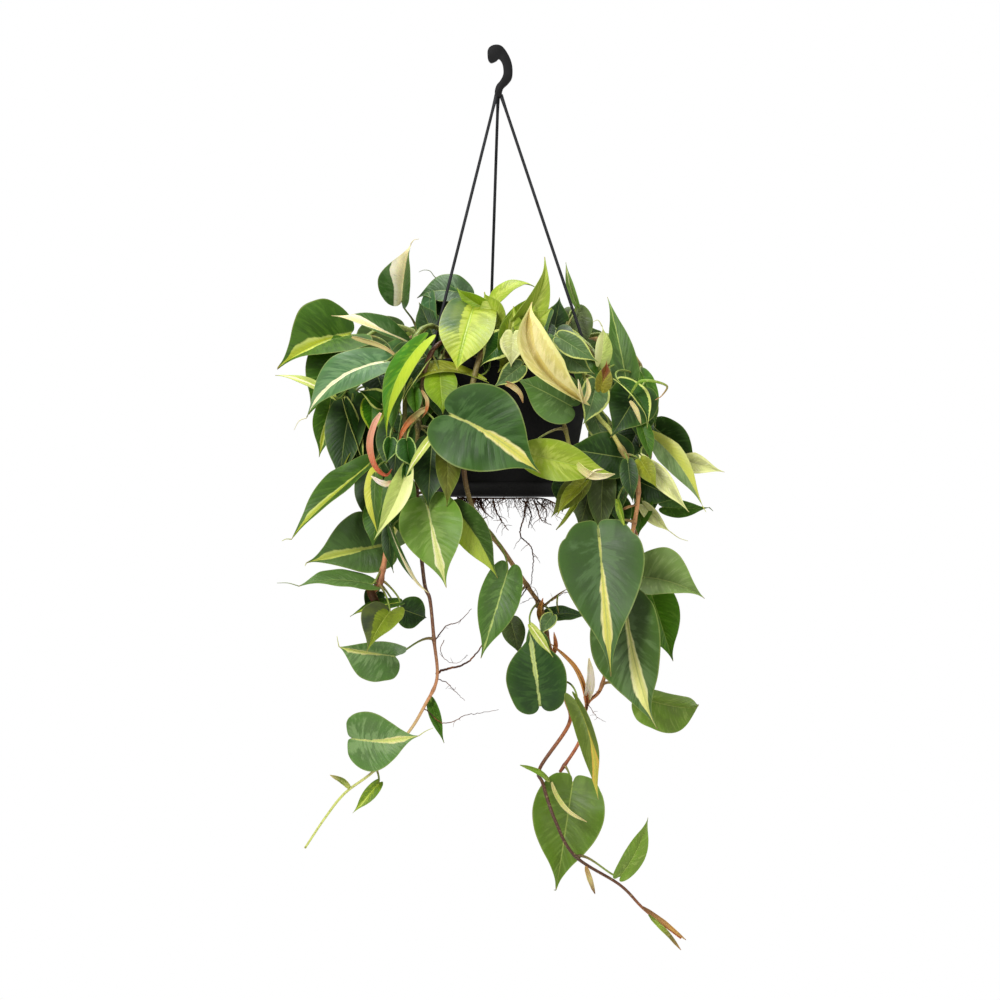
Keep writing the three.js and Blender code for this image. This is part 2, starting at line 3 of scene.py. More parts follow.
import bpy
import numpy as np
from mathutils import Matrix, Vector


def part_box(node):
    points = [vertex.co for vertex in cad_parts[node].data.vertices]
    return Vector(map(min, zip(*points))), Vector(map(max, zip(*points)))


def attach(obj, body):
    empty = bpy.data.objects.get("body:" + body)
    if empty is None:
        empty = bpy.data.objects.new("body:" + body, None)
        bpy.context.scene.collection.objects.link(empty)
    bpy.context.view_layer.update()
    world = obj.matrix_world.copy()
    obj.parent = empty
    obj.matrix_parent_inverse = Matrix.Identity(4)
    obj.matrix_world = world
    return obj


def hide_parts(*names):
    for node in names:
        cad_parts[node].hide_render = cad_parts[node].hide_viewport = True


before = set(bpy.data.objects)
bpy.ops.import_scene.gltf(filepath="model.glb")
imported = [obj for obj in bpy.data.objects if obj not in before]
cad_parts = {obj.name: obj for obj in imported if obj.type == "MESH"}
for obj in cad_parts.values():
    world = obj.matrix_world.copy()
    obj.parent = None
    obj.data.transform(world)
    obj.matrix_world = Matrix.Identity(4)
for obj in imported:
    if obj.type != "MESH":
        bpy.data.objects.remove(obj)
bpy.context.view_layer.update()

# A brasil philodendron in a black hanging nursery pot, in metres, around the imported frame.
# +Z is up, +Y points away from the viewer, and the origin is the inner top of the hook.
pot_low, pot_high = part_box("pot")
soil_low, soil_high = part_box("soil")
hook_low, hook_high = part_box("hanger_hook")
DICE_SEED = 41
dice = np.random.default_rng(DICE_SEED)

MM = 0.001
POT_AXIS_X = (pot_low.x + pot_high.x) / 2
RIM_RADIUS = (pot_high.x - pot_low.x) / 2
RIM_TOP = pot_high.z
BASE_BOTTOM = pot_low.z
BASE_RADIUS = 0.7 * RIM_RADIUS
SOIL_TOP = soil_high.z
WALL = 1.6 * MM
LIP_HEIGHT = 7 * MM
LIP_OVERHANG = 2 * MM
DRAIN_HOLE_RADIUS = 4.5 * MM
DRAIN_RING_RADIUS = 36 * MM
STEM_STEP = 2.0 * MM
PETIOLE_STEP = 2.2 * MM
DRAIN_HOLES = 8
STRAND_RADIUS = 1.2 * MM
STRAND_TOP_RADIUS = 2.1 * MM
STRAND_ANGLES = {"back": 98.8, "left": 218.8, "right": 338.8}
CLIP_WIDTH = 7 * MM
CLIP_LEG = 9 * MM
CLIP_THICKNESS = 1.6 * MM
CLEARANCE = 0.3 * MM

FOOT_RISE = 7 * MM
FOOT_DEPTH = 6 * MM
PETIOLE_LIFT = 12 * MM
BLADE_THICKNESS = 0.45 * MM

# The plant is laid out as it is seen in the picture, a square 1000 units wide. A point is
# (across, down, depth): its place in the picture, and how far behind the pot's axis it is in mm.
UNIT = 0.8 * MM
ORIGIN_ACROSS = 499
ORIGIN_DOWN = 59
EYE = np.array([0.8, -2400.0, -352.8]) * MM
LENS_MM = 108
SENSOR_MM = 36


def depth_scale(depth):
    return (depth * MM - EYE[1]) / -EYE[1]


def place(point):
    across, down, depth = point
    flat = np.array([(across - ORIGIN_ACROSS) * UNIT, 0.0, (ORIGIN_DOWN - down) * UNIT])
    return EYE + (flat - EYE) * depth_scale(depth)


# Half outlines of a heart-shaped blade, from its lobes to its drip tip. A row is
# (margin, half width, midrib): where the margin and the midrib are along the blade, as parts of
# its length, and how wide the half is there, as a part of its width.
BLADE_ROWS = [
    (0.0, 0.002, 0.0),
    (-0.085, 0.05, 0.006),
    (-0.125, 0.135, 0.012),
    (-0.11, 0.25, 0.022),
    (-0.04, 0.36, 0.035),
    (0.08, 0.44, 0.06),
    (0.24, 0.49, 0.12),
    (0.4, 0.495, 0.21),
    (0.56, 0.43, 0.34),
    (0.7, 0.305, 0.5),
    (0.82, 0.15, 0.67),
    (0.92, 0.045, 0.84),
    (1.0, 0.002, 1.0),
]

# The stems, each a route from its foot in the soil over the rim
LONG_LEFT, SHORT_LEFT, CENTRE = "vine_long_left", "vine_short_left", "vine_centre"
RIGHT, FAR_LEFT, MID_LEFT = "vine_right", "vine_far_left", "vine_mid_left"
FRONT, FAR_RIGHT, TOP_LEFT = "vine_front", "vine_far_right", "vine_top_left"
TOP_RIGHT, BACK_LEFT, BACK = "vine_top_right", "vine_back_left", "vine_back"
BACK_RIGHT = "vine_back_right"
VINES = {
    LONG_LEFT: [
        (478, 371, -22), (462, 346, -50), (442, 342, -86), (426, 366, -98), (418, 430, -94),
        (417, 500, -86), (424, 580, -84), (430, 600, -86), (434, 640, -90), (437, 678, -96),
        (425, 705, -94), (408, 733, -92), (375, 770, -90), (345, 793, -88), (325, 818, -86),
        (305, 848, -84),
    ],
    SHORT_LEFT: [
        (455, 371, -10), (430, 342, -22), (408, 348, -46), (398, 400, -62), (394, 480, -76),
        (387, 545, -90), (380, 580, -90), (371, 595, -88),
    ],
    CENTRE: [
        (500, 371, -40), (492, 345, -72), (480, 356, -100), (468, 410, -108), (464, 470, -100),
        (474, 512, -86), (486, 530, -74), (500, 546, -72), (515, 568, -72), (530, 590, -72),
        (541, 608, -72), (548, 640, -72), (557, 672, -72), (566, 700, -70), (569, 724, -68),
        (540, 768, -72), (543, 784, -100), (555, 820, -116), (575, 856, -114), (620, 885, -98),
        (645, 910, -90), (681, 938, -86),
    ],
    RIGHT: [
        (545, 371, -28), (562, 344, -62), (582, 368, -84), (596, 412, -92), (610, 430, -95),
        (625, 455, -94), (637, 475, -90), (638, 500, -86), (632, 535, -82), (620, 600, -70),
        (608, 660, -66), (600, 690, -70), (587, 705, -74), (580, 740, -76), (560, 772, -78),
    ],
    FAR_LEFT: [
        (455, 371, 8), (428, 340, 14), (395, 326, 14), (366, 338, 4), (352, 370, -8),
        (352, 420, -16), (358, 470, -14), (370, 520, -10), (378, 546, -8),
    ],
    MID_LEFT: [
        (468, 371, -30), (450, 338, -44), (430, 326, -66), (414, 340, -84), (406, 380, -92),
        (405, 430, -96), (410, 475, -92),
    ],
    FRONT: [
        (512, 371, -48), (520, 348, -76), (536, 360, -90), (556, 400, -88), (568, 440, -86),
        (576, 480, -84),
    ],
    FAR_RIGHT: [
        (552, 371, 8), (578, 340, 6), (610, 336, -6), (638, 362, -22), (650, 410, -34),
        (649, 460, -40), (641, 510, -42), (631, 560, -38), (627, 590, -32),
    ],
    TOP_LEFT: [
        (494, 371, -6), (478, 342, -12), (464, 322, -10), (452, 310, -6),
    ],
    TOP_RIGHT: [
        (530, 371, 10), (548, 345, -4), (568, 332, -20), (588, 345, -40), (598, 362, -58),
    ],
    BACK_LEFT: [
        (478, 371, 32), (452, 340, 66), (430, 348, 94), (416, 400, 108), (412, 470, 112),
        (410, 546, 106),
    ],
    BACK: [
        (502, 371, 40), (503, 344, 78), (504, 358, 104), (508, 410, 114), (512, 470, 116),
    ],
    BACK_RIGHT: [
        (530, 371, 32), (556, 340, 66), (584, 350, 90), (600, 410, 102), (604, 480, 104),
        (604, 550, 100), (608, 610, 96),
    ],
}

# Two more stems, over the rim at the sides
SIDE_LEFT, SIDE_RIGHT = "stem_side_left", "stem_side_right"
VINES[SIDE_LEFT] = [
    (462, 371, 30), (436, 342, 38), (408, 340, 44), (396, 384, 46), (391, 450, 46), (390, 516, 42),
]
VINES[SIDE_RIGHT] = [
    (542, 371, 28), (570, 340, 34), (600, 342, 40), (614, 388, 42), (618, 450, 42), (620, 512, 38),
]


def blade(vine, base, tip, width, skin, **shape):
    return {"vine": vine, "base": base, "tip": tip, "width": width, "skin": skin,
            "roll": 0, "fold": 12, "arch": 0.06, "sway": 0, "swell": 0.2, "face": 0,
            "curl": -14, "hook": 0.03, "twist": 0, **shape}


# The blades. base is where the petiole ends, tip is the drip tip, width is in picture units.
# roll turns the blade about its midrib, fold lifts its halves, curl bends each half further to its
# margin and twist turns the tip, in degrees; arch, sway and hook bend it out of its plane, to its
# side and down at its tip, as parts of its length; swell moves its widest part towards its base,
# waist narrows it there and shut closes the notch between its lobes; face turns its front from
# the viewer, in degrees.
BLADES = {
    "upright_left": blade(FAR_LEFT, (402, 300, -10), (410, 244, -20), 52, "cream_wide",
        roll=-26, fold=44, arch=0.05, stem_at=(418, 336, 14)),
    "shoulder": blade(FAR_LEFT, (350, 335, 0), (278, 366, -42), 88, "lime", roll=30, fold=30, arch=0.08),
    "shoulder_inner": blade(FAR_LEFT, (402, 340, -34), (332, 314, -44), 34, "cream",
        roll=50, fold=30, arch=0.08, sway=0.08, waist=0.4),
    "blue_left": blade(MID_LEFT, (384, 362, -76), (306, 416, -94), 52, "white",
        roll=36, arch=0.08, sway=-0.09),
    "thin_pale_left": blade(FAR_LEFT, (330, 395, -66), (276, 374, -76), 20, "lime_pale",
        roll=62, fold=10, arch=0.05),
    "behind_left": blade(FAR_LEFT, (347, 350, -12), (309, 414, -26), 62, "green", fold=10, arch=0.08),
    "hanging_left": blade(FAR_LEFT, (331, 404, -34), (319, 457, -44), 30, "lime", fold=15, arch=0.05),
    "cup_left": blade(MID_LEFT, (381, 404, -78), (358, 390, -86), 24, "rim", roll=20, fold=30, arch=0.1),
    "bright_left": blade(MID_LEFT, (422, 343, -96), (386, 438, -114), 28, "half_lime",
        roll=20, fold=18, arch=0.1, sway=-0.07, swell=0.3),
    "dark_hang_a": blade(FAR_LEFT, (352, 402, -38), (340, 487, -54), 44, "dark", roll=15, arch=0.08),
    "dark_hang_b": blade(FAR_LEFT, (345, 398, -30), (366, 472, -48), 40, "dark", roll=-10, arch=0.08),
    "dark_point": blade(SHORT_LEFT, (368, 466, -76), (290, 537, -100), 46, "lime",
        roll=50, fold=25, sway=0.06, waist=0.3),
    "dark_wide": blade(SHORT_LEFT, (381, 546, -54), (307, 562, -86), 76, "lime_mid",
        roll=22, fold=28, arch=0.08, sway=0.03),
    "flat_left": blade(SHORT_LEFT, (370, 584, -98), (299, 584, -116), 44, "green_pale",
        roll=66, fold=6, swell=0.1),
    "cream_hang": blade(LONG_LEFT, (407, 470, -116), (374, 539, -142), 25, "pale_hang",
        roll=8, fold=20, sway=0.05, swell=0.1, waist=0.3),
    "big_hang": blade(LONG_LEFT, (427, 505, -102), (446, 587, -122), 66, "cream_narrow",
        fold=14, arch=0.08, swell=0.3),
    "olive_hang": blade(LONG_LEFT, (447, 446, -108), (447, 506, -112), 27, "olive", roll=-15, arch=0.05),
    "dark_inner": blade(LONG_LEFT, (432, 444, -100), (428, 508, -112), 42, "dark",
        roll=4, fold=10, arch=0.05),
    "lime_hang": blade(LONG_LEFT, (456, 510, -90), (497, 578, -106), 38, "half_lime_dark",
        roll=10, fold=22, arch=0.08, sway=0.06, swell=0.1, mirror=True),
    "thin_dark": blade(SHORT_LEFT, (389, 528, -92), (393, 573, -96), 16, "dark",
        roll=20, fold=20, arch=0.05),
    "thin_cream": blade(LONG_LEFT, (392, 532, -100), (427, 594, -108), 18, "cream",
        roll=62, fold=10, arch=0.05),
    "front_big": blade(CENTRE, (451, 415, -124), (540, 473, -142), 92, "classic", fold=10, sway=0.045),
    "lime_twist": blade(FRONT, (531, 455, -114), (613, 474, -122), 44, "all_lime", fold=22),
    "dark_side": blade(FRONT, (625, 458, -84), (562, 448, -96), 48, "dark", fold=8),
    "cream_up": blade(RIGHT, (572, 396, -118), (533, 301, -100), 50, "all_cream",
        roll=28, fold=34, arch=0.05, sway=0.26, swell=-0.2, waist=0.8),
    "green_under_cream": blade(FRONT, (571, 406, -97), (517, 379, -103), 54, "green_pale",
        roll=10, fold=10),
    "lime_face": blade(TOP_LEFT, (474, 306, -52), (457, 368, -118), 56, "face_lime", roll=6, swell=-0.5),
    "arched_blue": blade(TOP_LEFT, (468, 296, -15), (417, 297, -16), 46, "dome",
        roll=46, fold=10, arch=0.15, swell=0),
    "blue_strip": blade(TOP_LEFT, (430, 298, -24), (437, 350, -34), 28, "blue",
        roll=50, fold=10, arch=0.05),
    "lime_arch": blade(TOP_LEFT, (493, 304, -52), (537, 287, -40), 26, "all_lime",
        roll=-58, fold=10, arch=0.22),
    "lime_up": blade(CENTRE, (501, 338, -84), (546, 257, -72), 34, "all_lime",
        roll=30, fold=30, arch=0.08, sway=-0.1, swell=0, waist=0.4),
    "lime_small": blade(TOP_RIGHT, (526, 330, -92), (552, 308, -98), 24, "all_lime", fold=20, arch=0.05),
    "olive_round": blade(TOP_RIGHT, (574, 311, -4), (584, 354, -14), 33, "olive_dark", fold=10),
    "olive_dark": blade(TOP_RIGHT, (550, 345, -16), (560, 297, -8), 36, "dark", roll=15, fold=8, arch=0.05),
    "thin_up": blade(TOP_RIGHT, (576, 304, -10), (566, 262, -6), 9, "cream_narrow",
        roll=10, fold=20, arch=0.03, sway=0.05),
    "pointed_up": blade(FAR_RIGHT, (630, 405, -58), (608, 296, -40), 31, "green_stripe",
        roll=10, fold=14, swell=0.3, waist=0.4),
    "grey_right": blade(TOP_RIGHT, (552, 338, -14), (598, 367, -18), 36, "grey", roll=-15, fold=10),
    "olive_sheath_leaf": blade(RIGHT, (601, 389, -112), (607, 361, -114), 20, "red_tip",
        roll=10, fold=30, arch=0.05),
    "shade_right": blade(FAR_RIGHT, (640, 390, -82), (611, 437, -98), 52, "dark", fold=10),
    "rim_right": blade(FAR_RIGHT, (621, 383, -98), (648, 428, -108), 26, "rim",
        roll=-40, fold=30, arch=0.08, sway=0.1),
    "dark_right": blade(FAR_RIGHT, (655, 428, -20), (697, 464, -30), 38, "dark", fold=10, swell=0),
    "lime_right": blade(FAR_RIGHT, (650, 435, -62), (702, 506, -78), 28, "grey_lime",
        roll=12, fold=20, sway=0.08, waist=0.5),
    "cream_right": blade(FAR_RIGHT, (645, 460, -84), (689, 512, -94), 21, "pale_cream",
        fold=20, arch=0.05, waist=0.6),
    "cream_far_right": blade(FAR_RIGHT, (682, 460, -50), (724, 472, -66), 23, "pale_cream",
        fold=20, arch=0.05, swell=0.4, waist=0.5),
    "green_tip_right": blade(FAR_RIGHT, (664, 507, -34), (709, 508, -46), 20, "green",
        roll=20, fold=10, arch=0.05),
    "cream_tip_right": blade(FAR_RIGHT, (644, 506, -62), (670, 532, -66), 16, "pale_cream",
        roll=20, fold=20, arch=0.05),
    "dark_mid_right": blade(FAR_RIGHT, (640, 482, -52), (680, 500, -60), 34, "dark", fold=10, arch=0.05),
    "green_mid_right": blade(RIGHT, (628, 463, -102), (633, 503, -106), 19, "dark",
        roll=10, fold=10, arch=0.05),
    "olive_mid_right": blade(RIGHT, (641, 461, -96), (657, 488, -102), 20, "olive_lime",
        fold=20, arch=0.05),
    "grey_mid_right": blade(RIGHT, (592, 412, -70), (612, 456, -76), 24, "grey", fold=10, arch=0.05),
    "olive_under": blade(FRONT, (583, 481, -86), (551, 517, -94), 26, "olive", roll=10, fold=15, arch=0.05),
    "dark_under": blade(FRONT, (603, 470, -76), (601, 540, -82), 30, "olive_dark",
        roll=10, fold=10, arch=0.05),
    "grey_front": blade(FRONT, (521, 366, -98), (494, 387, -106), 22, "grey", fold=10, arch=0.05),
    "lime_corner": blade(LONG_LEFT, (440, 374, -98), (443, 414, -108), 34, "fresh_lime",
        fold=10, arch=0.05),
    "cream_inner": blade(TOP_LEFT, (513, 334, -96), (511, 367, -104), 26, "pale_cream", fold=10, arch=0.05),
    "rim_inner": blade(MID_LEFT, (426, 362, -96), (402, 402, -108), 20, "rim", roll=50, fold=20, arch=0.05),
    "dark_back_top": blade(TOP_LEFT, (434, 338, -40), (419, 302, -30), 28, "dark",
        roll=10, fold=10, arch=0.05),
    "right_big": blade(RIGHT, (599, 537, -104), (611, 676, -124), 88, "grey_stripe",
        fold=10, swell=0.75, shut=0.9),
    "right_side": blade(FAR_RIGHT, (638, 577, -58), (704, 597, -80), 66, "soft_green",
        roll=-27, fold=32, sway=0.04),
    "right_under": blade(RIGHT, (626, 608, -82), (655, 729, -100), 92, "wide_stripe",
        roll=37, arch=0.05, swell=0.5),
    "right_behind": blade(FAR_RIGHT, (650, 590, -44), (673, 661, -56), 46, "bright_green", fold=10),
    "oval_right": blade(RIGHT, (641, 697, -64), (699, 708, -58), 57, "soft_olive",
        roll=32, fold=30, arch=0.08, swell=-0.7, hook=0.1, stem_at=(600, 684, -70)),
    "centre_hang": blade(CENTRE, (507, 573, -94), (481, 658, -106), 42, "green_stripe",
        stem_at=(484, 526, -76)),
    "dark_updown": blade(CENTRE, (540, 704, -88), (530, 634, -98), 62, "dark_stripe", swell=-0.3),
    "pale_edge": blade(CENTRE, (532, 627, -104), (553, 657, -106), 10, "lime_pale", fold=20, arch=0.05),
    "edge_dark": blade(CENTRE, (550, 616, -52), (588, 618, -40), 34, "dark", roll=-68, fold=6, arch=0.08),
    "green_small": blade(CENTRE, (541, 651, -90), (529, 622, -94), 24, "green_pale", fold=16, arch=0.05),
    "grey_small": blade(CENTRE, (511, 621, -60), (520, 655, -66), 24, "olive_dark",
        fold=10, arch=0.05, stem_at=(527, 586, -72)),
    "fold_lime": blade(CENTRE, (577, 703, -108), (596, 800, -116), 30, "half_yellow",
        roll=48, fold=20, arch=0.05, sway=0.16),
    "low_heart": blade(RIGHT, (572, 787, -84), (556, 890, -98), 74, "mid_green",
        arch=0.05, swell=0.35, shut=0.7),
    "low_fold": blade(CENTRE, (622, 874, -112), (648, 818, -118), 23, "soft_olive",
        fold=20, sway=-0.05, swell=0, stem_at=(577, 857, -114)),
    "bowl_left": blade(LONG_LEFT, (394, 656, -104), (340, 648, -132), 58, "heart",
        roll=-23, fold=36, sway=-0.03, swell=-0.45),
    "lime_under": blade(SHORT_LEFT, (389, 613, -112), (367, 650, -150), 47, "under_lime",
        roll=20, fold=30, arch=0.05, swell=0),
    "dark_cluster": blade(SHORT_LEFT, (402, 609, -82), (427, 618, -66), 34, "dark", fold=8),
    "strip_cluster": blade(SHORT_LEFT, (398, 603, -92), (350, 615, -104), 24, "lime",
        roll=62, fold=8, sway=0.05),
    "dark_small": blade(SHORT_LEFT, (378, 592, -84), (364, 609, -90), 22, "dark", fold=8, arch=0.05),
    "heart_left": blade(LONG_LEFT, (355, 739, -96), (418, 736, -116), 62, "heart",
        fold=14, sway=-0.04, shut=0.8),
    "narrow_low": blade(LONG_LEFT, (431, 702, -88), (444, 743, -94), 14, "green", fold=32, arch=0.05),
    "curled_low": blade(LONG_LEFT, (378, 784, -86), (353, 813, -92), 14, "green_lime", fold=20, arch=0.08),
    "back_a": blade(BACK_LEFT, (404, 330, 96), (368, 392, 124), 76, "classic", arch=0.08, face=205),
    "back_b": blade(BACK_LEFT, (452, 336, 104), (430, 402, 140), 80, "classic", arch=0.08, face=195),
    "back_c": blade(BACK, (512, 344, 110), (498, 416, 146), 84, "lime", arch=0.08, face=180),
    "back_d": blade(BACK_RIGHT, (566, 338, 104), (582, 404, 138), 78, "classic", arch=0.08, face=165),
    "back_e": blade(BACK_RIGHT, (600, 356, 92), (624, 414, 118), 62, "green", arch=0.08, face=150),
    "back_f": blade(BACK_LEFT, (398, 420, 116), (366, 486, 138), 70, "lime", arch=0.08, face=205),
    "back_g": blade(BACK, (470, 404, 122), (462, 472, 146), 70, "half_lime", arch=0.08, face=185),
    "back_h": blade(BACK, (545, 404, 124), (548, 470, 146), 68, "green", arch=0.08, face=175),
    "back_i": blade(BACK_RIGHT, (612, 424, 112), (630, 494, 134), 66, "classic", arch=0.08, face=160),
    "back_j": blade(BACK_LEFT, (412, 500, 118), (380, 562, 132), 62, "classic", arch=0.08, face=200),
    "back_k": blade(BACK_RIGHT, (606, 540, 108), (620, 608, 124), 64, "lime", arch=0.08, face=165),
    "olive_arch": blade(TOP_LEFT, (474, 376, -104), (401, 399, -116), 24, "olive_lime",
        roll=52, fold=18, sway=-0.32, stem_at=(462, 318, -32)),
    "curl_top": blade(MID_LEFT, (414, 391, -100), (417, 420, -106), 20, "green", fold=34, curl=-70),
    "strip_inner": blade(MID_LEFT, (399, 394, -96), (392, 434, -102), 16, "green", fold=24, roll=30),
    "bright_block": blade(FAR_LEFT, (372, 401, -70), (371, 436, -78), 26, "bright", fold=14, roll=-12),
    "fill_shade_a": blade(MID_LEFT, (414, 350, -56), (399, 402, -74), 44, "dark", roll=12),
    "fill_shade_b": blade(MID_LEFT, (424, 372, -64), (424, 428, -84), 42, "green", roll=-14),
    "fill_shade_c": blade(SHORT_LEFT, (401, 420, -76), (394, 484, -92), 44, "dark", roll=16),
    "fill_shade_d": blade(LONG_LEFT, (426, 418, -78), (420, 476, -92), 40, "dark", roll=-10),
    "fill_shade_e": blade(FAR_LEFT, (374, 368, -34), (390, 418, -58), 42, "dark", roll=-22),
    "fill_shade_f": blade(SHORT_LEFT, (399, 478, -84), (407, 544, -94), 40, "green", roll=20),
    "fill_shade_g": blade(FAR_LEFT, (360, 428, -22), (364, 492, -36), 46, "dark", roll=8),
    "fill_shade_h": blade(SHORT_LEFT, (384, 500, -74), (372, 548, -84), 34, "green", roll=26),
    "pale_line": blade(FAR_LEFT, (345, 404, -46), (365, 470, -56), 18, "rim", roll=-48, fold=30,
                       sway=-0.05),
    "olive_line": blade(FAR_LEFT, (354, 446, -48), (338, 484, -58), 14, "olive_lime", roll=56, fold=20),
    "yellow_edge": blade(SHORT_LEFT, (376, 474, -112), (377, 534, -120), 22, "yellow_edge", roll=24,
                         fold=20),
    "curl_one": blade(SHORT_LEFT, (390, 440, -118), (386, 464, -120), 20, "thin_rim", roll=-16, fold=34,
                      curl=-50),
    "curl_two": blade(LONG_LEFT, (407, 441, -120), (411, 466, -122), 27, "thin_rim", roll=18, fold=30,
                      curl=-60, swell=-0.3),
    "curl_three": blade(LONG_LEFT, (405, 466, -118), (401, 487, -120), 15, "thin_rim", roll=-30, fold=34,
                        curl=-50),
    "pale_band": blade(LONG_LEFT, (435, 434, -124), (404, 480, -132), 10, "lime_pale", roll=24, fold=20),
    "shade_crown_a": blade(TOP_LEFT, (454, 318, -20), (438, 356, -36), 34, "dark", roll=18),
    "shade_crown_b": blade(TOP_LEFT, (482, 330, -44), (486, 374, -78), 42, "dark", roll=-14),
    "crown_grey": blade(TOP_LEFT, (508, 338, -88), (480, 366, -102), 32, "rim", roll=14, fold=16),
    "crown_tip": blade(TOP_LEFT, (492, 311, -58), (456, 288, -46), 22, "fresh_lime", roll=-30, fold=16,
                       arch=0.1),
    "crown_lime": blade(TOP_LEFT, (500, 322, -66), (484, 292, -60), 30, "all_lime", roll=-30, fold=16),
    "crown_lime_b": blade(TOP_LEFT, (506, 350, -92), (514, 306, -86), 34, "lime_shade", roll=24, fold=24),
    "crown_olive": blade(TOP_RIGHT, (530, 352, -94), (534, 304, -84), 28, "all_lime", roll=-24, fold=26),
    "crown_olive_b": blade(TOP_RIGHT, (522, 346, -80), (498, 372, -92), 30, "olive_lime", roll=20, fold=20),
    "shade_crown_c": blade(TOP_RIGHT, (556, 330, -36), (548, 376, -66), 42, "dark", roll=10),
    "shade_crown_d": blade(TOP_RIGHT, (588, 353, -44), (576, 394, -76), 40, "green", roll=-16),
    "grey_crown": blade(TOP_RIGHT, (564, 353, -86), (594, 374, -96), 27, "grey", roll=16, fold=14),
    "grey_crown_b": blade(TOP_RIGHT, (555, 338, -76), (562, 374, -92), 26, "green_pale", roll=-20, fold=14),
    "lime_patch": blade(FAR_RIGHT, (600, 363, -84), (603, 326, -72), 22, "pale_hang", roll=34, fold=14),
    "under_twist": blade(RIGHT, (596, 384, -100), (584, 424, -106), 34, "grey", roll=-24, fold=14),
    "edge_right": blade(FAR_RIGHT, (642, 374, -52), (656, 426, -64), 20, "green", roll=-30, fold=20),
    "shade_right_b": blade(FAR_RIGHT, (634, 392, -40), (640, 446, -62), 44, "dark", roll=-18),
    "shade_right_c": blade(FAR_RIGHT, (641, 424, -40), (622, 470, -66), 36, "dark", roll=18),
    "dark_drop": blade(FAR_RIGHT, (641, 424, -92), (651, 462, -98), 18, "green", roll=-18, fold=24),
    "lime_drop": blade(RIGHT, (618, 502, -104), (626, 530, -106), 8, "green_lime", roll=20, fold=24),
    "dark_wedge": blade(FAR_RIGHT, (646, 504, -56), (638, 536, -64), 26, "green", roll=30, fold=20),
    "shade_right_d": blade(FAR_RIGHT, (640, 470, -38), (652, 520, -56), 42, "dark", roll=-12),
    "shade_right_e": blade(RIGHT, (610, 468, -72), (618, 524, -84), 40, "dark", roll=14),
    "shade_right_f": blade(FRONT, (590, 486, -66), (578, 532, -80), 36, "olive_dark", roll=-14),
    "shade_right_g": blade(FRONT, (572, 478, -74), (562, 512, -86), 34, "dark", roll=22),
    "olive_hook": blade(FRONT, (584, 482, -96), (556, 516, -104), 18, "olive_lime", roll=36, fold=24),
    "crown_back": blade(TOP_LEFT, (458, 310, -14), (438, 280, -12), 26, "blue", roll=-10),
    "shade_left_a": blade(FAR_LEFT, (392, 356, -24), (380, 420, -34), 48, "dark", roll=-14),
    "shade_left_b": blade(MID_LEFT, (420, 392, -58), (436, 446, -72), 40, "dark", roll=12),
    "shade_left_c": blade(LONG_LEFT, (440, 384, -72), (454, 432, -80), 38, "dark", roll=-10),
    "shade_left_d": blade(SHORT_LEFT, (374, 470, -40), (386, 540, -56), 44, "dark", roll=14),
    "top_left": blade(BACK_LEFT, (466, 331, 20), (446, 347, 66), 56, "classic", face=180),
    "top_back": blade(BACK, (505, 327, 22), (514, 345, 80), 62, "lime", face=180),
    "top_right": blade(BACK_RIGHT, (545, 331, 24), (574, 347, 68), 60, "classic", face=180),
    "top_front_left": blade(TOP_LEFT, (486, 326, -6), (474, 340, -48), 48, "green"),
    "top_front_right": blade(TOP_RIGHT, (534, 326, -6), (548, 340, -50), 50, "classic"),
    "top_far_left": blade(FAR_LEFT, (438, 333, 16), (408, 350, 34), 54, "green", face=-90),
    "top_far_right": blade(FAR_RIGHT, (566, 335, 10), (590, 353, 28), 42, "classic", face=90),
    "top_edge_left": blade(BACK_LEFT, (440, 336, 58), (412, 356, 92), 58, "half_lime", face=215),
    "top_edge_right": blade(BACK_RIGHT, (566, 334, 58), (596, 356, 94), 58, "green", face=145),
    "side_left_a": blade(SIDE_LEFT, (402, 350, 52), (372, 412, 66), 68, "classic", face=-78),
    "side_left_b": blade(SIDE_LEFT, (392, 374, 22), (368, 442, 6), 70, "lime", face=-100),
    "side_left_c": blade(SIDE_LEFT, (388, 430, 60), (366, 496, 72), 64, "mid_green", face=-82),
    "side_left_d": blade(SIDE_LEFT, (386, 456, 24), (368, 524, 14), 60, "classic", face=-98),
    "side_left_e": blade(BACK_LEFT, (408, 360, 88), (382, 424, 106), 66, "green", face=-120),
    "side_left_f": blade(BACK_LEFT, (406, 450, 96), (384, 512, 106), 58, "classic", face=-110),
    "side_right_a": blade(SIDE_RIGHT, (600, 354, 48), (616, 416, 60), 60, "lime", face=80),
    "side_right_b": blade(SIDE_RIGHT, (611, 384, 18), (628, 446, 4), 62, "classic", face=98),
    "side_right_c": blade(SIDE_RIGHT, (616, 426, 56), (636, 494, 66), 66, "classic", face=84),
    "side_right_d": blade(SIDE_RIGHT, (618, 452, 20), (636, 518, 10), 60, "mid_green", face=96),
    "side_right_e": blade(BACK_RIGHT, (598, 358, 84), (622, 418, 102), 64, "half_lime", face=118),
    "side_right_f": blade(BACK_RIGHT, (602, 446, 90), (622, 508, 100), 58, "classic", face=108),
    "back_low_b": blade(BACK_RIGHT, (596, 470, 112), (584, 534, 128), 60, "classic", face=185),
    "back_mid": blade(BACK, (508, 430, 124), (500, 490, 146), 62, "classic", face=182),
    "node_leaf": blade(CENTRE, (552, 616, -80), (540, 635, -84), 17, "grey", roll=20),
    "crown_fill": blade(TOP_LEFT, (505, 338, -74), (534, 293, -66), 26, "lime_shade", roll=10, fold=16),
    "crown_blue": blade(TOP_LEFT, (452, 334, -14), (438, 282, -9), 48, "dome", roll=8),
    "shade_low_right": blade(RIGHT, (606, 500, -62), (612, 548, -72), 52, "dark", roll=6),
    "grey_crown_c": blade(TOP_RIGHT, (560, 338, -102), (598, 362, -106), 24, "grey"),
}


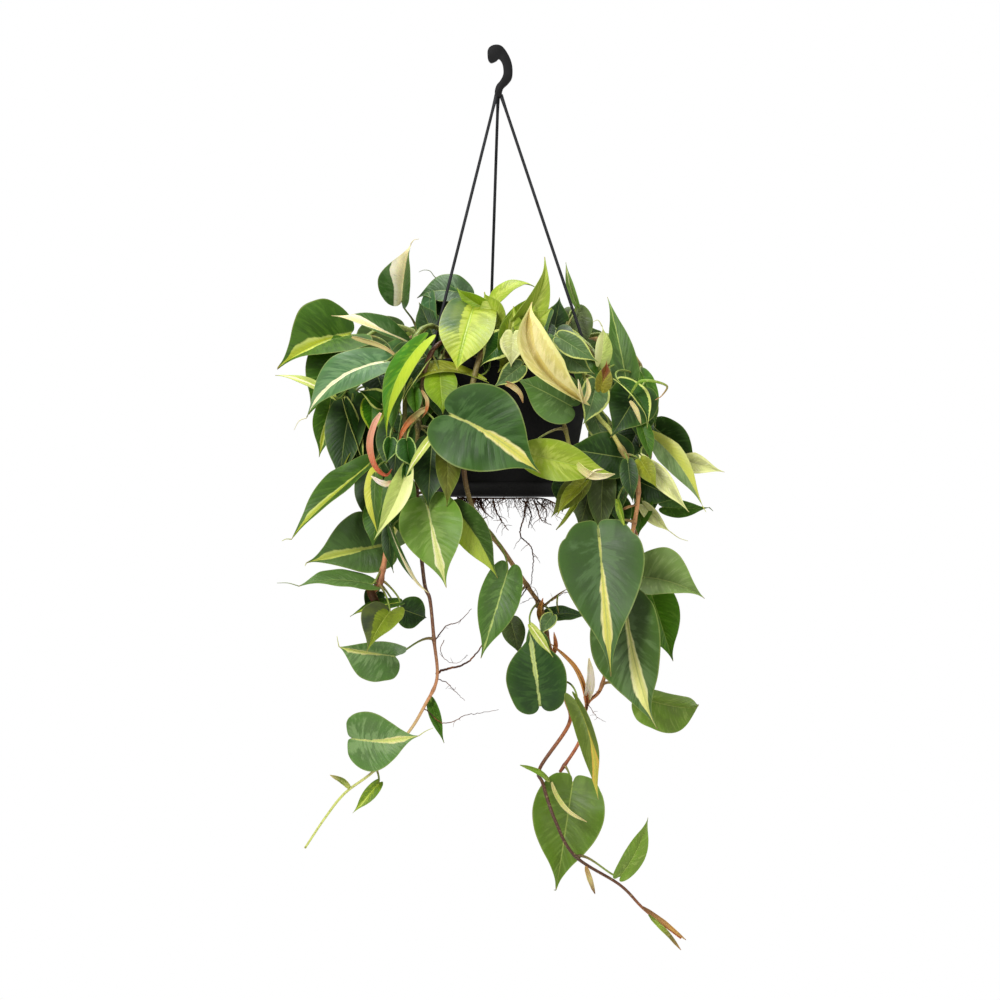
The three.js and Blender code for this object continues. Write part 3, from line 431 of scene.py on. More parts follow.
def tint(red, green, blue):
    """A colour given as 0 to 255 for the screen, as linear light."""
    parts = [part / 255 for part in (red, green, blue)]
    return tuple(part / 12.92 if part <= 0.04045 else ((part + 0.055) / 1.055) ** 2.4 for part in parts)


LIME, PALE_LIME, BRIGHT = tint(160, 180, 40), tint(200, 208, 112), tint(108, 152, 22)
YELLOW, CREAM, IVORY = tint(208, 202, 92), tint(224, 215, 150), tint(236, 228, 186)
DARK, DEEP, LEAF = tint(42, 74, 24), tint(28, 54, 12), tint(56, 96, 12)
GREY_GREEN, BLUE_GREEN, OLIVE = tint(88, 118, 64), tint(66, 104, 60), tint(98, 104, 30)
TAN, ORANGE, BROWN = tint(172, 130, 78), tint(196, 110, 54), tint(106, 64, 38)
DARK_BROWN, PINK_TAN, STRAW = tint(74, 44, 30), tint(214, 152, 108), tint(204, 190, 130)
STEM_GREEN, OLIVE_STEM = tint(120, 142, 54), tint(120, 114, 56)


def skin(green, streak, stripe=YELLOW, edge=CREAM, left=0.0, right=0.0, start=0.2, peak=0.66,
         feather=0.06, flank=None, flank_side=0, flank_from=0.8, flank_to=2.0, under=None, streaks=0.6):
    return {"green": green, "streak": streak, "stripe": stripe, "edge": edge, "left": left,
            "right": right, "start": start, "peak": peak, "feather": feather, "flank": flank,
            "flank_side": flank_side, "flank_from": flank_from, "flank_to": flank_to, "under": under,
            "streaks": streaks}


# How the blades are coloured. left and right are the half widths of the pale stripe along the
# midrib, as parts of the blade's half width; a flank is a band of its own along one margin.
# The streak colour of each skin is partly the leaf's own paler feathering and partly painted sheen, for the
# glossy light streaks on its blade.
SKINS = {
    "classic": skin(DARK, tint(74, 108, 54), left=0.12, right=0.12),
    "heart": skin(tint(86, 122, 58), tint(136, 164, 106), tint(204, 206, 110), CREAM, 0.1, 0.1),
    "soft_green": skin(tint(122, 148, 76), tint(150, 172, 106)),
    "soft_olive": skin(tint(108, 138, 44), tint(142, 162, 78)),
    "lime_mid": skin(tint(74, 102, 48), tint(86, 118, 58), tint(190, 196, 86), PALE_LIME, 0.14, 0.1, 0.3),
    "dark_stripe": skin(tint(38, 66, 26), tint(62, 94, 40), tint(190, 204, 134), PALE_LIME, 0.07, 0.08,
                        0.5),
    "cream": skin(tint(56, 94, 32), GREY_GREEN, tint(240, 222, 168), tint(246, 236, 204), 0.42, 0.7, 0.22,
                  0.7),
    "cream_wide": skin(tint(56, 94, 32), GREY_GREEN, tint(252, 236, 184), tint(255, 246, 216), 0.06, 0.6,
                       0.55, 0.55),
    # On dome the grey streak colour is painted highlight over a dark green blade.
    "dome": skin(tint(50, 80, 38), tint(104, 128, 92)),
    "lime": skin(tint(50, 84, 10), tint(76, 112, 24), tint(176, 184, 48), PALE_LIME, 0.2, 0.12, 0.3),
    "white": skin(BLUE_GREEN, tint(108, 142, 92), IVORY, IVORY, 0.07, 0.09, 0.8, 0.5),
    "lime_pale": skin(PALE_LIME, LIME, IVORY, IVORY, 0.2, 0.1, 1.0),
    "green": skin(LEAF, tint(90, 130, 40)),
    "mid_green": skin(tint(86, 114, 22), tint(112, 138, 56)),
    "rim": skin(tint(40, 80, 14), LEAF, flank=PALE_LIME, flank_from=0.82),
    "thin_rim": skin(tint(34, 74, 12), tint(52, 100, 20), flank=tint(150, 176, 92), flank_from=0.9),
    "half_lime": skin(tint(58, 118, 10), BRIGHT, tint(168, 186, 44), LIME, 0.02, 1.2, 1.0),
    "cream_narrow": skin(tint(100, 136, 42), tint(128, 154, 76), tint(214, 214, 136), IVORY, 0.2, 0.16,
                         0.12, 0.95),
    "dark": skin(DEEP, tint(60, 92, 34)),
    "olive": skin(OLIVE, tint(134, 138, 54)),
    "all_lime": skin(tint(150, 172, 44), tint(186, 198, 88), tint(124, 152, 30), LIME, 0.08, 0.06, 0.6),
    "all_cream": skin(tint(206, 194, 110), tint(226, 214, 152), tint(148, 128, 50), tint(188, 168, 78),
                      0.26, 0.1, 0.8, 0.4,
                      flank=tint(216, 210, 132), flank_from=0.84, under=tint(204, 194, 124)),
    "pale_cream": skin(tint(206, 210, 132), tint(228, 228, 176), flank=tint(222, 224, 150), flank_from=0.8,
                       under=tint(196, 204, 120)),
    "half_lime_dark": skin(tint(56, 84, 28), tint(84, 110, 52), tint(160, 176, 60), LIME, 0.02, 1.2, 1.0),
    "wide_stripe": skin(tint(66, 92, 38), tint(104, 130, 80), tint(232, 228, 136), tint(240, 236, 172),
                        0.17, 0.17, 0.3, 0.6),
    "grey_stripe": skin(tint(58, 84, 38), tint(88, 116, 70), left=0.12, right=0.12),
    "red_tip": skin(tint(124, 120, 28), tint(158, 150, 50), tint(112, 56, 24), BROWN, 0.9, 0.9, 0.0, 1.0),
    "pale_hang": skin(tint(164, 180, 88), tint(184, 196, 108), tint(208, 212, 136), tint(226, 228, 168),
                      0.02, 1.2, 1.0),
    "bright_green": skin(tint(74, 122, 16), tint(104, 146, 40)),
    "fresh_lime": skin(tint(124, 156, 18), tint(150, 176, 50)),
    "green_pale": skin(tint(84, 118, 52), tint(114, 144, 82)),
    # face_lime's dark flank is painted shade: a dark grey-green band over the left part of the blade, which
    # lies in shadow
    "face_lime": skin(tint(148, 166, 32), tint(178, 190, 76), tint(120, 148, 26), LIME, 0.1, 0.1, 0.6,
                      flank=tint(52, 84, 34), flank_side=-1, flank_from=0.3, flank_to=0.6),
    # On blue the pale streaks are painted blue-green sheen.
    "blue": skin(BLUE_GREEN, tint(120, 154, 112)),
    "olive_dark": skin(tint(76, 90, 44), tint(102, 116, 66)),
    "green_stripe": skin(tint(66, 100, 32), tint(98, 130, 62), tint(156, 180, 100), PALE_LIME, 0.03, 0.04,
                         0.8),
    "grey": skin(GREY_GREEN, tint(126, 150, 98), flank=PALE_LIME, flank_from=0.88),
    "olive_lime": skin(tint(136, 144, 26), tint(166, 170, 60)),
    "half_yellow": skin(tint(92, 112, 34), tint(112, 130, 52), tint(196, 186, 76), tint(206, 168, 70),
                        0.3, 0.9, 0.0, 0.9),
    "under_lime": skin(tint(120, 138, 34), tint(138, 154, 50), flank=tint(58, 66, 46), flank_side=-1,
                       flank_from=0.42),
    "grey_lime": skin(tint(104, 132, 76), tint(134, 156, 100), tint(210, 212, 92), tint(226, 226, 140),
                      0.02, 1.2, 1.0),
    "bright": skin(tint(50, 104, 6), tint(88, 142, 20), flank=LIME, flank_from=0.84),
    "yellow_edge": skin(tint(70, 104, 26), GREY_GREEN, flank=tint(194, 194, 60), flank_side=-1,
                        flank_from=0.4),
    "lime_shade": skin(tint(110, 140, 30), LIME, tint(184, 194, 88), PALE_LIME, 0.1, 0.3, 0.8),
    "green_lime": skin(tint(98, 130, 34), LIME, tint(176, 194, 70), PALE_LIME, 0.1, 0.2),
}

# How the stems are coloured from foot to tip, and their radii there in mm
STEMS = {
    LONG_LEFT: ((2.0, 0.9),
                [OLIVE_STEM, BROWN, BROWN, OLIVE_STEM, BROWN, DARK_BROWN, BROWN, tint(206, 142, 96), STRAW,
                             PALE_LIME, PALE_LIME]),
    SHORT_LEFT: ((2.1, 2.0), [OLIVE_STEM, BROWN, DARK_BROWN, BROWN, PINK_TAN, tint(200, 124, 80)]),
    CENTRE: ((2.4, 1.0), [OLIVE_STEM, BROWN, OLIVE_STEM, BROWN, OLIVE_STEM, TAN, TAN, ORANGE, BROWN,
                          DARK_BROWN, DARK_BROWN, BROWN, ORANGE]),
    RIGHT: ((1.9, 1.3),
            [OLIVE_STEM, STEM_GREEN, tint(164, 178, 74), tint(172, 176, 88), tint(216, 156, 104),
             tint(206, 146, 90),
                         BROWN, TAN, ORANGE, tint(128, 60, 34)]),
    FAR_LEFT: ((2.0, 1.5), [OLIVE_STEM, STEM_GREEN, OLIVE_STEM, BROWN]),
    MID_LEFT: ((2.0, 1.6), [OLIVE_STEM, STEM_GREEN, BROWN]),
    FRONT: ((2.0, 1.5), [OLIVE_STEM, TAN, STEM_GREEN]),
    FAR_RIGHT: ((1.9, 1.4), [OLIVE_STEM, STEM_GREEN, TAN, PINK_TAN, BROWN]),
    TOP_LEFT: ((2.0, 1.5), [OLIVE_STEM, STEM_GREEN, STEM_GREEN]),
    TOP_RIGHT: ((2.0, 1.4), [OLIVE_STEM, STEM_GREEN, STEM_GREEN]),
    SIDE_LEFT: ((2.0, 1.4), [OLIVE_STEM, BROWN, TAN]),
    SIDE_RIGHT: ((2.0, 1.4), [OLIVE_STEM, TAN, BROWN]),
    BACK_LEFT: ((1.9, 1.4), [OLIVE_STEM, BROWN, TAN]),
    BACK: ((1.9, 1.4), [OLIVE_STEM, BROWN, TAN]),
    BACK_RIGHT: ((1.9, 1.4), [OLIVE_STEM, BROWN, TAN]),
}


# Curves and meshes

def smooth_path(points, per=12):
    """A uniform Catmull-Rom curve through the points, as the stems in the frame follow."""
    points = np.asarray(points, float)
    padded = np.vstack([2 * points[0] - points[1], points, 2 * points[-1] - points[-2]])
    places = []
    for start in range(len(points) - 1):
        before, here, there, after = padded[start:start + 4]
        for step in range(per):
            t = step / per
            places.append(0.5 * (2 * here + (there - before) * t
                                 + (2 * before - 5 * here + 4 * there - after) * t ** 2
                                 + (3 * here - before - 3 * there + after) * t ** 3))
    places.append(points[-1])
    return np.array(places)


def lengths_along(path):
    return np.concatenate([[0.0], np.cumsum(np.linalg.norm(np.diff(path, axis=0), axis=1))])


def resample(path, step):
    """The same path with its points evenly spaced, about a step apart."""
    reached = lengths_along(path)
    wanted = np.linspace(0, reached[-1], max(3, int(round(reached[-1] / step)) + 1))
    return np.column_stack([np.interp(wanted, reached, path[:, axis]) for axis in range(3)])


def bezier(start, leaving, arriving, end, count):
    t = np.linspace(0, 1, count)[:, None]
    return (start * (1 - t) ** 3 + 3 * leaving * (1 - t) ** 2 * t
            + 3 * arriving * (1 - t) * t ** 2 + end * t ** 3)


def along_colours(colours, share):
    stops = np.linspace(0, 1, len(colours))
    table = np.array(colours)
    return np.column_stack([np.interp(share, stops, table[:, part]) for part in range(3)])


def unit(vectors):
    return vectors / np.maximum(np.linalg.norm(vectors, axis=-1, keepdims=True), 1e-12)


def turning_frames(path):
    """Two directions across the path at each point, turned as little as possible along it."""
    forward = unit(np.gradient(path, axis=0))
    helper = np.array([0.0, 1.0, 0.0]) if abs(forward[0][1]) < 0.9 else np.array([1.0, 0.0, 0.0])
    first = np.cross(forward[0], helper)
    across = []
    for direction in forward:
        first = unit(first - direction * first.dot(direction))
        across.append(first)
    across = np.array(across)
    return across, np.cross(forward, across)


class Shell:
    """Collects points, faces and point values, and becomes one mesh object."""

    def __init__(self):
        self.points, self.faces, self.values, self.count = [], [], {}, 0

    def add(self, points, faces, **values):
        self.points.append(np.asarray(points, float))
        self.faces += [tuple(corner + self.count for corner in face) for face in faces]
        for key, value in values.items():
            self.values.setdefault(key, []).append(np.asarray(value, float))
        self.count += len(points)

    def build(self, name, material):
        mesh = bpy.data.meshes.new(name)
        mesh.from_pydata(np.vstack(self.points).tolist(), [], self.faces)
        for key, parts in self.values.items():
            values = np.concatenate(parts)
            if values.ndim == 2:
                layer = mesh.attributes.new(key, "FLOAT_COLOR", "POINT")
                layer.data.foreach_set("color", np.column_stack([values, np.ones(len(values))]).ravel())
            else:
                layer = mesh.attributes.new(key, "FLOAT", "POINT")
                layer.data.foreach_set("value", values)
        mesh.polygons.foreach_set("use_smooth", [True] * len(mesh.polygons))
        mesh.materials.append(material)
        mesh.update()
        thing = bpy.data.objects.new(name, mesh)
        bpy.context.scene.collection.objects.link(thing)
        return thing


def add_tube(shell, path, radii, colours, sides=10, **values):
    """A round tube with closed, domed ends. colours has one row for each point of the path, and
    values are the same all along."""
    across, up = turning_frames(path)
    angles = np.linspace(0, 2 * math.pi, sides, endpoint=False)
    rings = (path[:, None, :] + radii[:, None, None]
             * (across[:, None, :] * np.cos(angles)[None, :, None] + up[:, None, :] * np.sin(angles)[None,
                                                                                                     :,
                                                                                                     None]))
    ends = np.array([path[0] - unit(path[1] - path[0]) * radii[0] * 0.5,
                     path[-1] + unit(path[-1] - path[-2]) * radii[-1] * 0.5])
    count = len(path)
    faces = []
    for ring in range(count - 1):
        for side in range(sides):
            a, b = ring * sides + side, ring * sides + (side + 1) % sides
            faces.append((a, b, b + sides, a + sides))
    first_end, last_end, last = count * sides, count * sides + 1, (count - 1) * sides
    for side in range(sides):
        following = (side + 1) % sides
        faces.append((first_end, following, side))
        faces.append((last_end, last + side, last + following))
    size = count * sides + 2
    filled = {key: np.full(size, value) for key, value in values.items()}
    if colours is not None:
        along = np.repeat(lengths_along(path), sides)
        filled.update(tint=np.vstack([np.repeat(colours, sides, axis=0), colours[:1], colours[-1:]]),
                      along=np.append(along, [0, along[-1]]),
                      ring_x=np.append(np.tile(np.cos(angles), count), [0, 0]),
                      ring_y=np.append(np.tile(np.sin(angles), count), [0, 0]))
    shell.add(np.vstack([rings.reshape(-1, 3), ends]), faces, **filled)


def sheet_faces(rows, columns):
    """Faces of a sheet with two skins, the second a copy of the first, closed along its border."""
    size = rows * columns
    faces = []
    for row in range(rows - 1):
        for column in range(columns - 1):
            a = row * columns + column
            corners = (a, a + columns, a + columns + 1, a + 1)
            faces.append(corners)
            faces.append(tuple(size + corner for corner in reversed(corners)))
    border = ([row * columns for row in range(rows)]
              + [(rows - 1) * columns + column for column in range(1, columns)]
              + [row * columns + columns - 1 for row in range(rows - 2, -1, -1)]
              + list(range(columns - 2, 0, -1)))
    for here, there in zip(border, border[1:] + border[:1]):
        faces.append((here, size + here, size + there, there))
    return faces


def sheet_normals(grid):
    normals = np.zeros_like(grid)
    fall = np.cross(grid[1:, 1:] - grid[:-1, :-1], grid[:-1, 1:] - grid[1:, :-1])
    for rows in (slice(0, -1), slice(1, None)):
        for columns in (slice(0, -1), slice(1, None)):
            normals[rows, columns] += fall
    return unit(normals)


def add_sheet(shell, grid, thickness, **values):
    """A thin closed sheet about a grid of points, with its thickness above and below the grid.
    Every value is given for one face of the sheet."""
    normals = sheet_normals(grid)
    above, below = thickness
    points = np.vstack([(grid + normals * above[..., None]).reshape(-1, 3),
                        (grid - normals * below[..., None]).reshape(-1, 3)])
    size = grid.shape[0] * grid.shape[1]
    doubled = {key: np.concatenate([value.reshape(size, *value.shape[2:])] * 2)
               for key, value in values.items()}
    doubled["under"] = np.repeat([0.0, 1.0], size)
    shell.add(points, sheet_faces(*grid.shape[:2]), **doubled)


def swollen(along, swell):
    return np.where(along > 0, along * (1 - swell * (1 - along)), along)


def blade_frame(part):
    base, tip = place(part["base"]), place(part["tip"])
    midrib = unit(tip - base)
    face = math.radians(part["face"])
    front = np.array([math.sin(face), -math.cos(face), 0.0])
    flat = unit(front - midrib * front.dot(midrib))
    roll = math.radians(part["roll"])
    normal = flat * math.cos(roll) - np.cross(flat, midrib) * math.sin(roll)
    width = part["width"] * UNIT * depth_scale(part["base"][2])
    return base, midrib, normal, np.cross(normal, midrib), np.linalg.norm(tip - base), width


# Where the points of a blade lie across each half, from the midrib to the margin
HALF_COLUMNS = np.array([0, 0.05, 0.16, 0.3, 0.45, 0.6, 0.74, 0.86, 0.95, 1.0])
LESS_COLUMNS = np.array([0, 0.07, 0.25, 0.5, 0.75, 0.93, 1.0])
SMALL_BLADE = 30


def blade_grid(part, seed):
    """The mid surface of a blade, as a grid of points, and where each point lies on the blade."""
    base, midrib, normal, side, length, width = blade_frame(part)
    small = part["width"] < SMALL_BLADE
    rows = smooth_path(BLADE_ROWS, 3 if small else 5)
    margin, middle = swollen(rows[:, 0], part["swell"]), swollen(rows[:, 2], part["swell"])
    half = LESS_COLUMNS if small else HALF_COLUMNS
    columns = np.concatenate([-half[:0:-1], half])
    reach, sign = np.abs(columns)[None, :], np.sign(columns)[None, :]
    along = middle[:, None] + (margin - middle)[:, None] * reach ** 1.3
    waist = 1 - part.get("waist", 0) * np.clip((0.3 - margin) / 0.42, 0, 1)
    notch = np.where(margin < 0, np.clip((0.25 - rows[:, 1]) / 0.2, 0, 1), 0)
    narrowed = waist * (1 - part.get("shut", 0) * notch)
    out = reach * (np.maximum(rows[:, 1], 0.002) * narrowed)[:, None] * width

    curl = math.radians(part["curl"])
    fold = math.radians(part["fold"]) - 0.5 * curl
    bow = curl / (0.5 * width)
    lateral = (np.sin(fold + bow * out) - math.sin(fold)) / bow
    lift = (math.cos(fold) - np.cos(fold + bow * out)) / bow

    random = np.random.default_rng(seed)
    phase = random.uniform(0, 2 * math.pi, 6)
    ripple = sum(0.6 ** wave * np.sin(along * (7 + 6 * wave) + phase[wave] + sign * phase[wave + 3])
                 for wave in range(3))
    lift = lift + part.get("ripple", 0.016) * width * reach ** 2 * ripple
    quilt = np.sin(middle[:, None] * 2 * math.pi * 9 + reach * 1.5)
    lift = lift + 0.0022 * width * quilt * np.sin(math.pi * reach) * np.clip(out / (0.2 * width), 0, 1)

    twist = np.radians(part["twist"]) * np.clip(along, 0, 1)
    turned = sign * lateral * np.cos(twist) - lift * np.sin(twist)
    raised = sign * lateral * np.sin(twist) + lift * np.cos(twist)
    bend = 4 * along * (1 - along) * length
    sag = part["hook"] * length * np.clip((along - 0.78) / 0.22, 0, None) ** 2
    grid = (base + (along * length)[..., None] * midrib
            + (turned + part["sway"] * bend)[..., None] * side
            + (raised + part["arch"] * bend - sag)[..., None] * normal)
    rib = np.exp(-(out / (0.9 * MM)) ** 2) * np.clip(1.15 - along, 0.1, 1)
    flip = -1 if part.get("mirror") else 1
    places = {
        "along": along,
        "vein": np.broadcast_to(middle[:, None], along.shape),
        "offset": flip * sign * out / (0.5 * width),
        "reach": np.broadcast_to(reach, along.shape),
        "seed": np.full(along.shape, random.uniform()),
    }
    return grid, rib, places


def add_thread(shell, path, start_radius, end_radius, **values):
    """A thin round thread that carries one value of each kind all along."""
    path = resample(smooth_path(path, 6), 1.2 * MM)
    radii = np.linspace(start_radius, end_radius, len(path))
    add_tube(shell, path, radii, None, 5, **values)


def build_blade(name, part, seed):
    grid, rib, places = blade_grid(part, seed)
    shell = Shell()
    half = BLADE_THICKNESS / 2 * (1 - 0.45 * places["reach"] ** 4)
    add_sheet(shell, grid, (half - 0.1 * MM * rib, half + 0.5 * MM * rib), **places)
    if "tail" in part:
        depth = part["tip"][2]
        tail = [grid[-1, grid.shape[1] // 2]] + [place((*point, depth)) for point in part["tail"]]
        add_thread(shell, tail, 0.45 * MM, 0.2 * MM, along=0.97, vein=1.0, offset=0.0, reach=0.0,
                   seed=places["seed"][0, 0], under=0.0)
    thing = shell.build("leaf_" + name, blade_materials[part["skin"]])
    mark_sharp_rims(thing)
    finish_piece(thing, "leaf_" + name)
    return thing


def mark_sharp_rims(thing):
    """A blade's border is a sharp edge, so that its two smooth faces don't share their shading."""
    mesh = thing.data
    under = np.empty(len(mesh.vertices))
    mesh.attributes["under"].data.foreach_get("value", under)
    edges = np.empty(2 * len(mesh.edges), int)
    mesh.edges.foreach_get("vertices", edges)
    edges = edges.reshape(-1, 2)
    border = set()
    for face in mesh.polygons:
        corners = list(face.vertices)
        levels = under[corners]
        if levels.min() == 0 and levels.max() == 1:
            for here, there in zip(corners, corners[1:] + corners[:1]):
                if under[here] == under[there]:
                    border.add((min(here, there), max(here, there)))
    sharp = [(min(a, b), max(a, b)) in border for a, b in edges.tolist()]
    layer = mesh.attributes.new("sharp_edge", "BOOLEAN", "EDGE")
    layer.data.foreach_set("value", sharp)


def finish_piece(thing, node):
    """Every piece rides on the one body, and stands for the frame's node of the same name."""
    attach(thing, "root")
    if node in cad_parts:
        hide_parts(node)


# The stems and petioles

def vine_path(name):
    route = [place(point) for point in VINES[name]]
    route[0][2] = SOIL_TOP + CLEARANCE
    route.insert(1, route[0] + [0, 0, FOOT_RISE])
    path = smooth_path(route, 12)
    return np.vstack([path[0] - [0, 0, FOOT_DEPTH], path])


def petiole_path(part, stem):
    base, midrib, normal = blade_frame(part)[:3]
    inner = stem[4:-1]
    start = inner[np.argmin(np.linalg.norm(inner - (base + [0, 0, PETIOLE_LIFT]), axis=1))]
    if "stem_at" in part:
        near = place(part["stem_at"])
        start = inner[np.argmin(np.linalg.norm(inner - near, axis=1))]
    end = base - 0.35 * MM * normal
    reach = np.linalg.norm(end - start)
    leaving = start + 0.3 * (end - start) + [0, 0, 0.25 * reach]
    arriving = end - 0.1 * reach * normal - 0.3 * reach * midrib
    count = max(8, int(reach / PETIOLE_STEP))
    return bezier(start, leaving, arriving, end, count)


def build_vine(name, parts):
    radii, colours = STEMS[name]
    path = resample(vine_path(name), STEM_STEP)
    share = lengths_along(path) / lengths_along(path)[-1]
    radius = np.interp(share, [0, 1], radii) * MM
    tints = along_colours(colours, share)
    petioles = [petiole_path(part, path) for part in parts]
    wobble = np.interp(np.arange(len(path)), np.arange(0, len(path) + 9, 9),
                       dice.uniform(-1, 1, len(np.arange(0, len(path) + 9, 9))))
    for petiole in petioles:
        near = np.exp(-(np.linalg.norm(path - petiole[0], axis=1) / (2.6 * MM)) ** 2)
        radius = radius * (1 + 0.32 * near)
        tints = tints * (1 - 0.35 * near[:, None])
    radius = radius * (1 + 0.05 * wobble)
    shell = Shell()
    add_tube(shell, path, radius, tints, 12)
    for petiole in petioles:
        count = len(petiole)
        share = np.linspace(0, 1, count)
        size = np.interp(share, [0, 0.15, 0.4, 0.9, 1.0], [1.35, 1.1, 0.78, 0.72, 0.82]) * MM
        foot = tints[np.argmin(np.linalg.norm(path - petiole[0], axis=1))]
        lean = along_colours([foot, OLIVE_STEM, STEM_GREEN, STEM_GREEN, STEM_GREEN], share)
        add_tube(shell, petiole, size, lean, 8)
    thing = shell.build(name, stem_material)
    finish_piece(thing, name)
    return thing


# Sheaths: papery or green boat-shaped strips that young leaves left at the nodes

def add_sheath(shell, points, width, colours, turn=0, wrap=150):
    """A strip along the points, wrapped by an angle across, its opening turned by turn."""
    path = resample(smooth_path([place(point) for point in points], 8), 1.5 * MM)
    across, up = turning_frames(path)
    angle = math.radians(turn)
    side = across * math.cos(angle) + up * math.sin(angle)
    front = np.cross(unit(np.gradient(path, axis=0)), side)
    share = np.linspace(0, 1, len(path))
    spread = np.interp(share, [0, 0.12, 0.45, 0.8, 1], [0.35, 0.8, 1.0, 0.6, 0.06])
    radius = width * UNIT * spread / math.radians(wrap)
    around = np.radians(np.linspace(-wrap / 2, wrap / 2, 9))
    grid = (path[:, None, :] + radius[:, None, None] * (side[:, None, :] * np.sin(around)[None, :, None]
            + front[:, None, :] * (1 - np.cos(around))[None, :, None]))
    tints = np.repeat(along_colours(colours, share)[:, None, :], len(around), axis=1)
    shape = grid.shape[:2]
    along = np.broadcast_to(lengths_along(path)[:, None], shape)
    add_sheet(shell, grid, (np.full(shape, 0.16 * MM),) * 2, tint=tints, along=along,
              ring_x=np.broadcast_to(np.sin(around)[None, :] * 3, shape),
              ring_y=np.zeros(shape))


# Materials

class Recipe:
    """Builds one node material around its Principled shader."""

    def __init__(self, name, specular=0.5, subsurface=0.0):
        self.material = bpy.data.materials.new(name)
        self.material.use_nodes = True
        self.tree = self.material.node_tree
        self.shader = self.tree.nodes["Principled BSDF"]
        self.shader.inputs["Specular IOR Level"].default_value = specular
        if subsurface:
            self.shader.inputs["Subsurface Weight"].default_value = subsurface
            self.shader.inputs["Subsurface Radius"].default_value = (0.5, 1.0, 0.2)
            self.shader.inputs["Subsurface Scale"].default_value = 0.0012

    def put(self, socket, value):
        if isinstance(value, bpy.types.NodeSocket):
            self.tree.links.new(value, socket)
        elif isinstance(value, tuple) and socket.type == "RGBA":
            socket.default_value = (*value, 1.0)
        else:
            socket.default_value = value

    def node(self, kind, *values, **settings):
        node = self.tree.nodes.new("ShaderNode" + kind)
        for key, value in settings.items():
            setattr(node, key, value)
        for socket, value in zip(node.inputs, values):
            self.put(socket, value)
        return node

    def math(self, operation, *values, clamp=False):
        return self.node("Math", *values, operation=operation, use_clamp=clamp).outputs[0]

    def join(self, x, y, z):
        return self.node("CombineXYZ", x, y, z).outputs[0]

    def mix(self, share, first, second, blend="MIX"):
        node = self.node("Mix", data_type="RGBA", blend_type=blend)
        self.put(node.inputs["Factor"], share)
        self.put(node.inputs[6], first)
        self.put(node.inputs[7], second)
        return node.outputs[2]

    def spread(self, value, low, high, start=0.0, end=1.0, smooth=True):
        kind = "SMOOTHSTEP" if smooth else "LINEAR"
        return self.node("MapRange", value, low, high, start, end, interpolation_type=kind).outputs[0]

    def noise(self, where, scale, detail=2.0, roughness=0.5):
        node = self.node("TexNoise")
        for key, value in (("Vector", where), ("Scale", scale), ("Detail", detail),
                           ("Roughness", roughness)):
            self.put(node.inputs[key], value)
        return node.outputs[0]

    def value(self, name):
        return self.node("Attribute", attribute_name=name).outputs["Fac"]

    def colour(self, name):
        return self.node("Attribute", attribute_name=name).outputs["Color"]

    def place(self):
        return self.node("TexCoord").outputs["Object"]

    def finish(self, colour, roughness, height=None, depth=0.0004, strength=0.5):
        self.put(self.shader.inputs["Base Color"], colour)
        self.put(self.shader.inputs["Roughness"], roughness)
        if height is not None:
            bump = self.node("Bump")
            bump.inputs["Strength"].default_value = strength
            bump.inputs["Distance"].default_value = depth
            self.put(bump.inputs["Height"], height)
            self.put(self.shader.inputs["Normal"], bump.outputs[0])
        return self.material


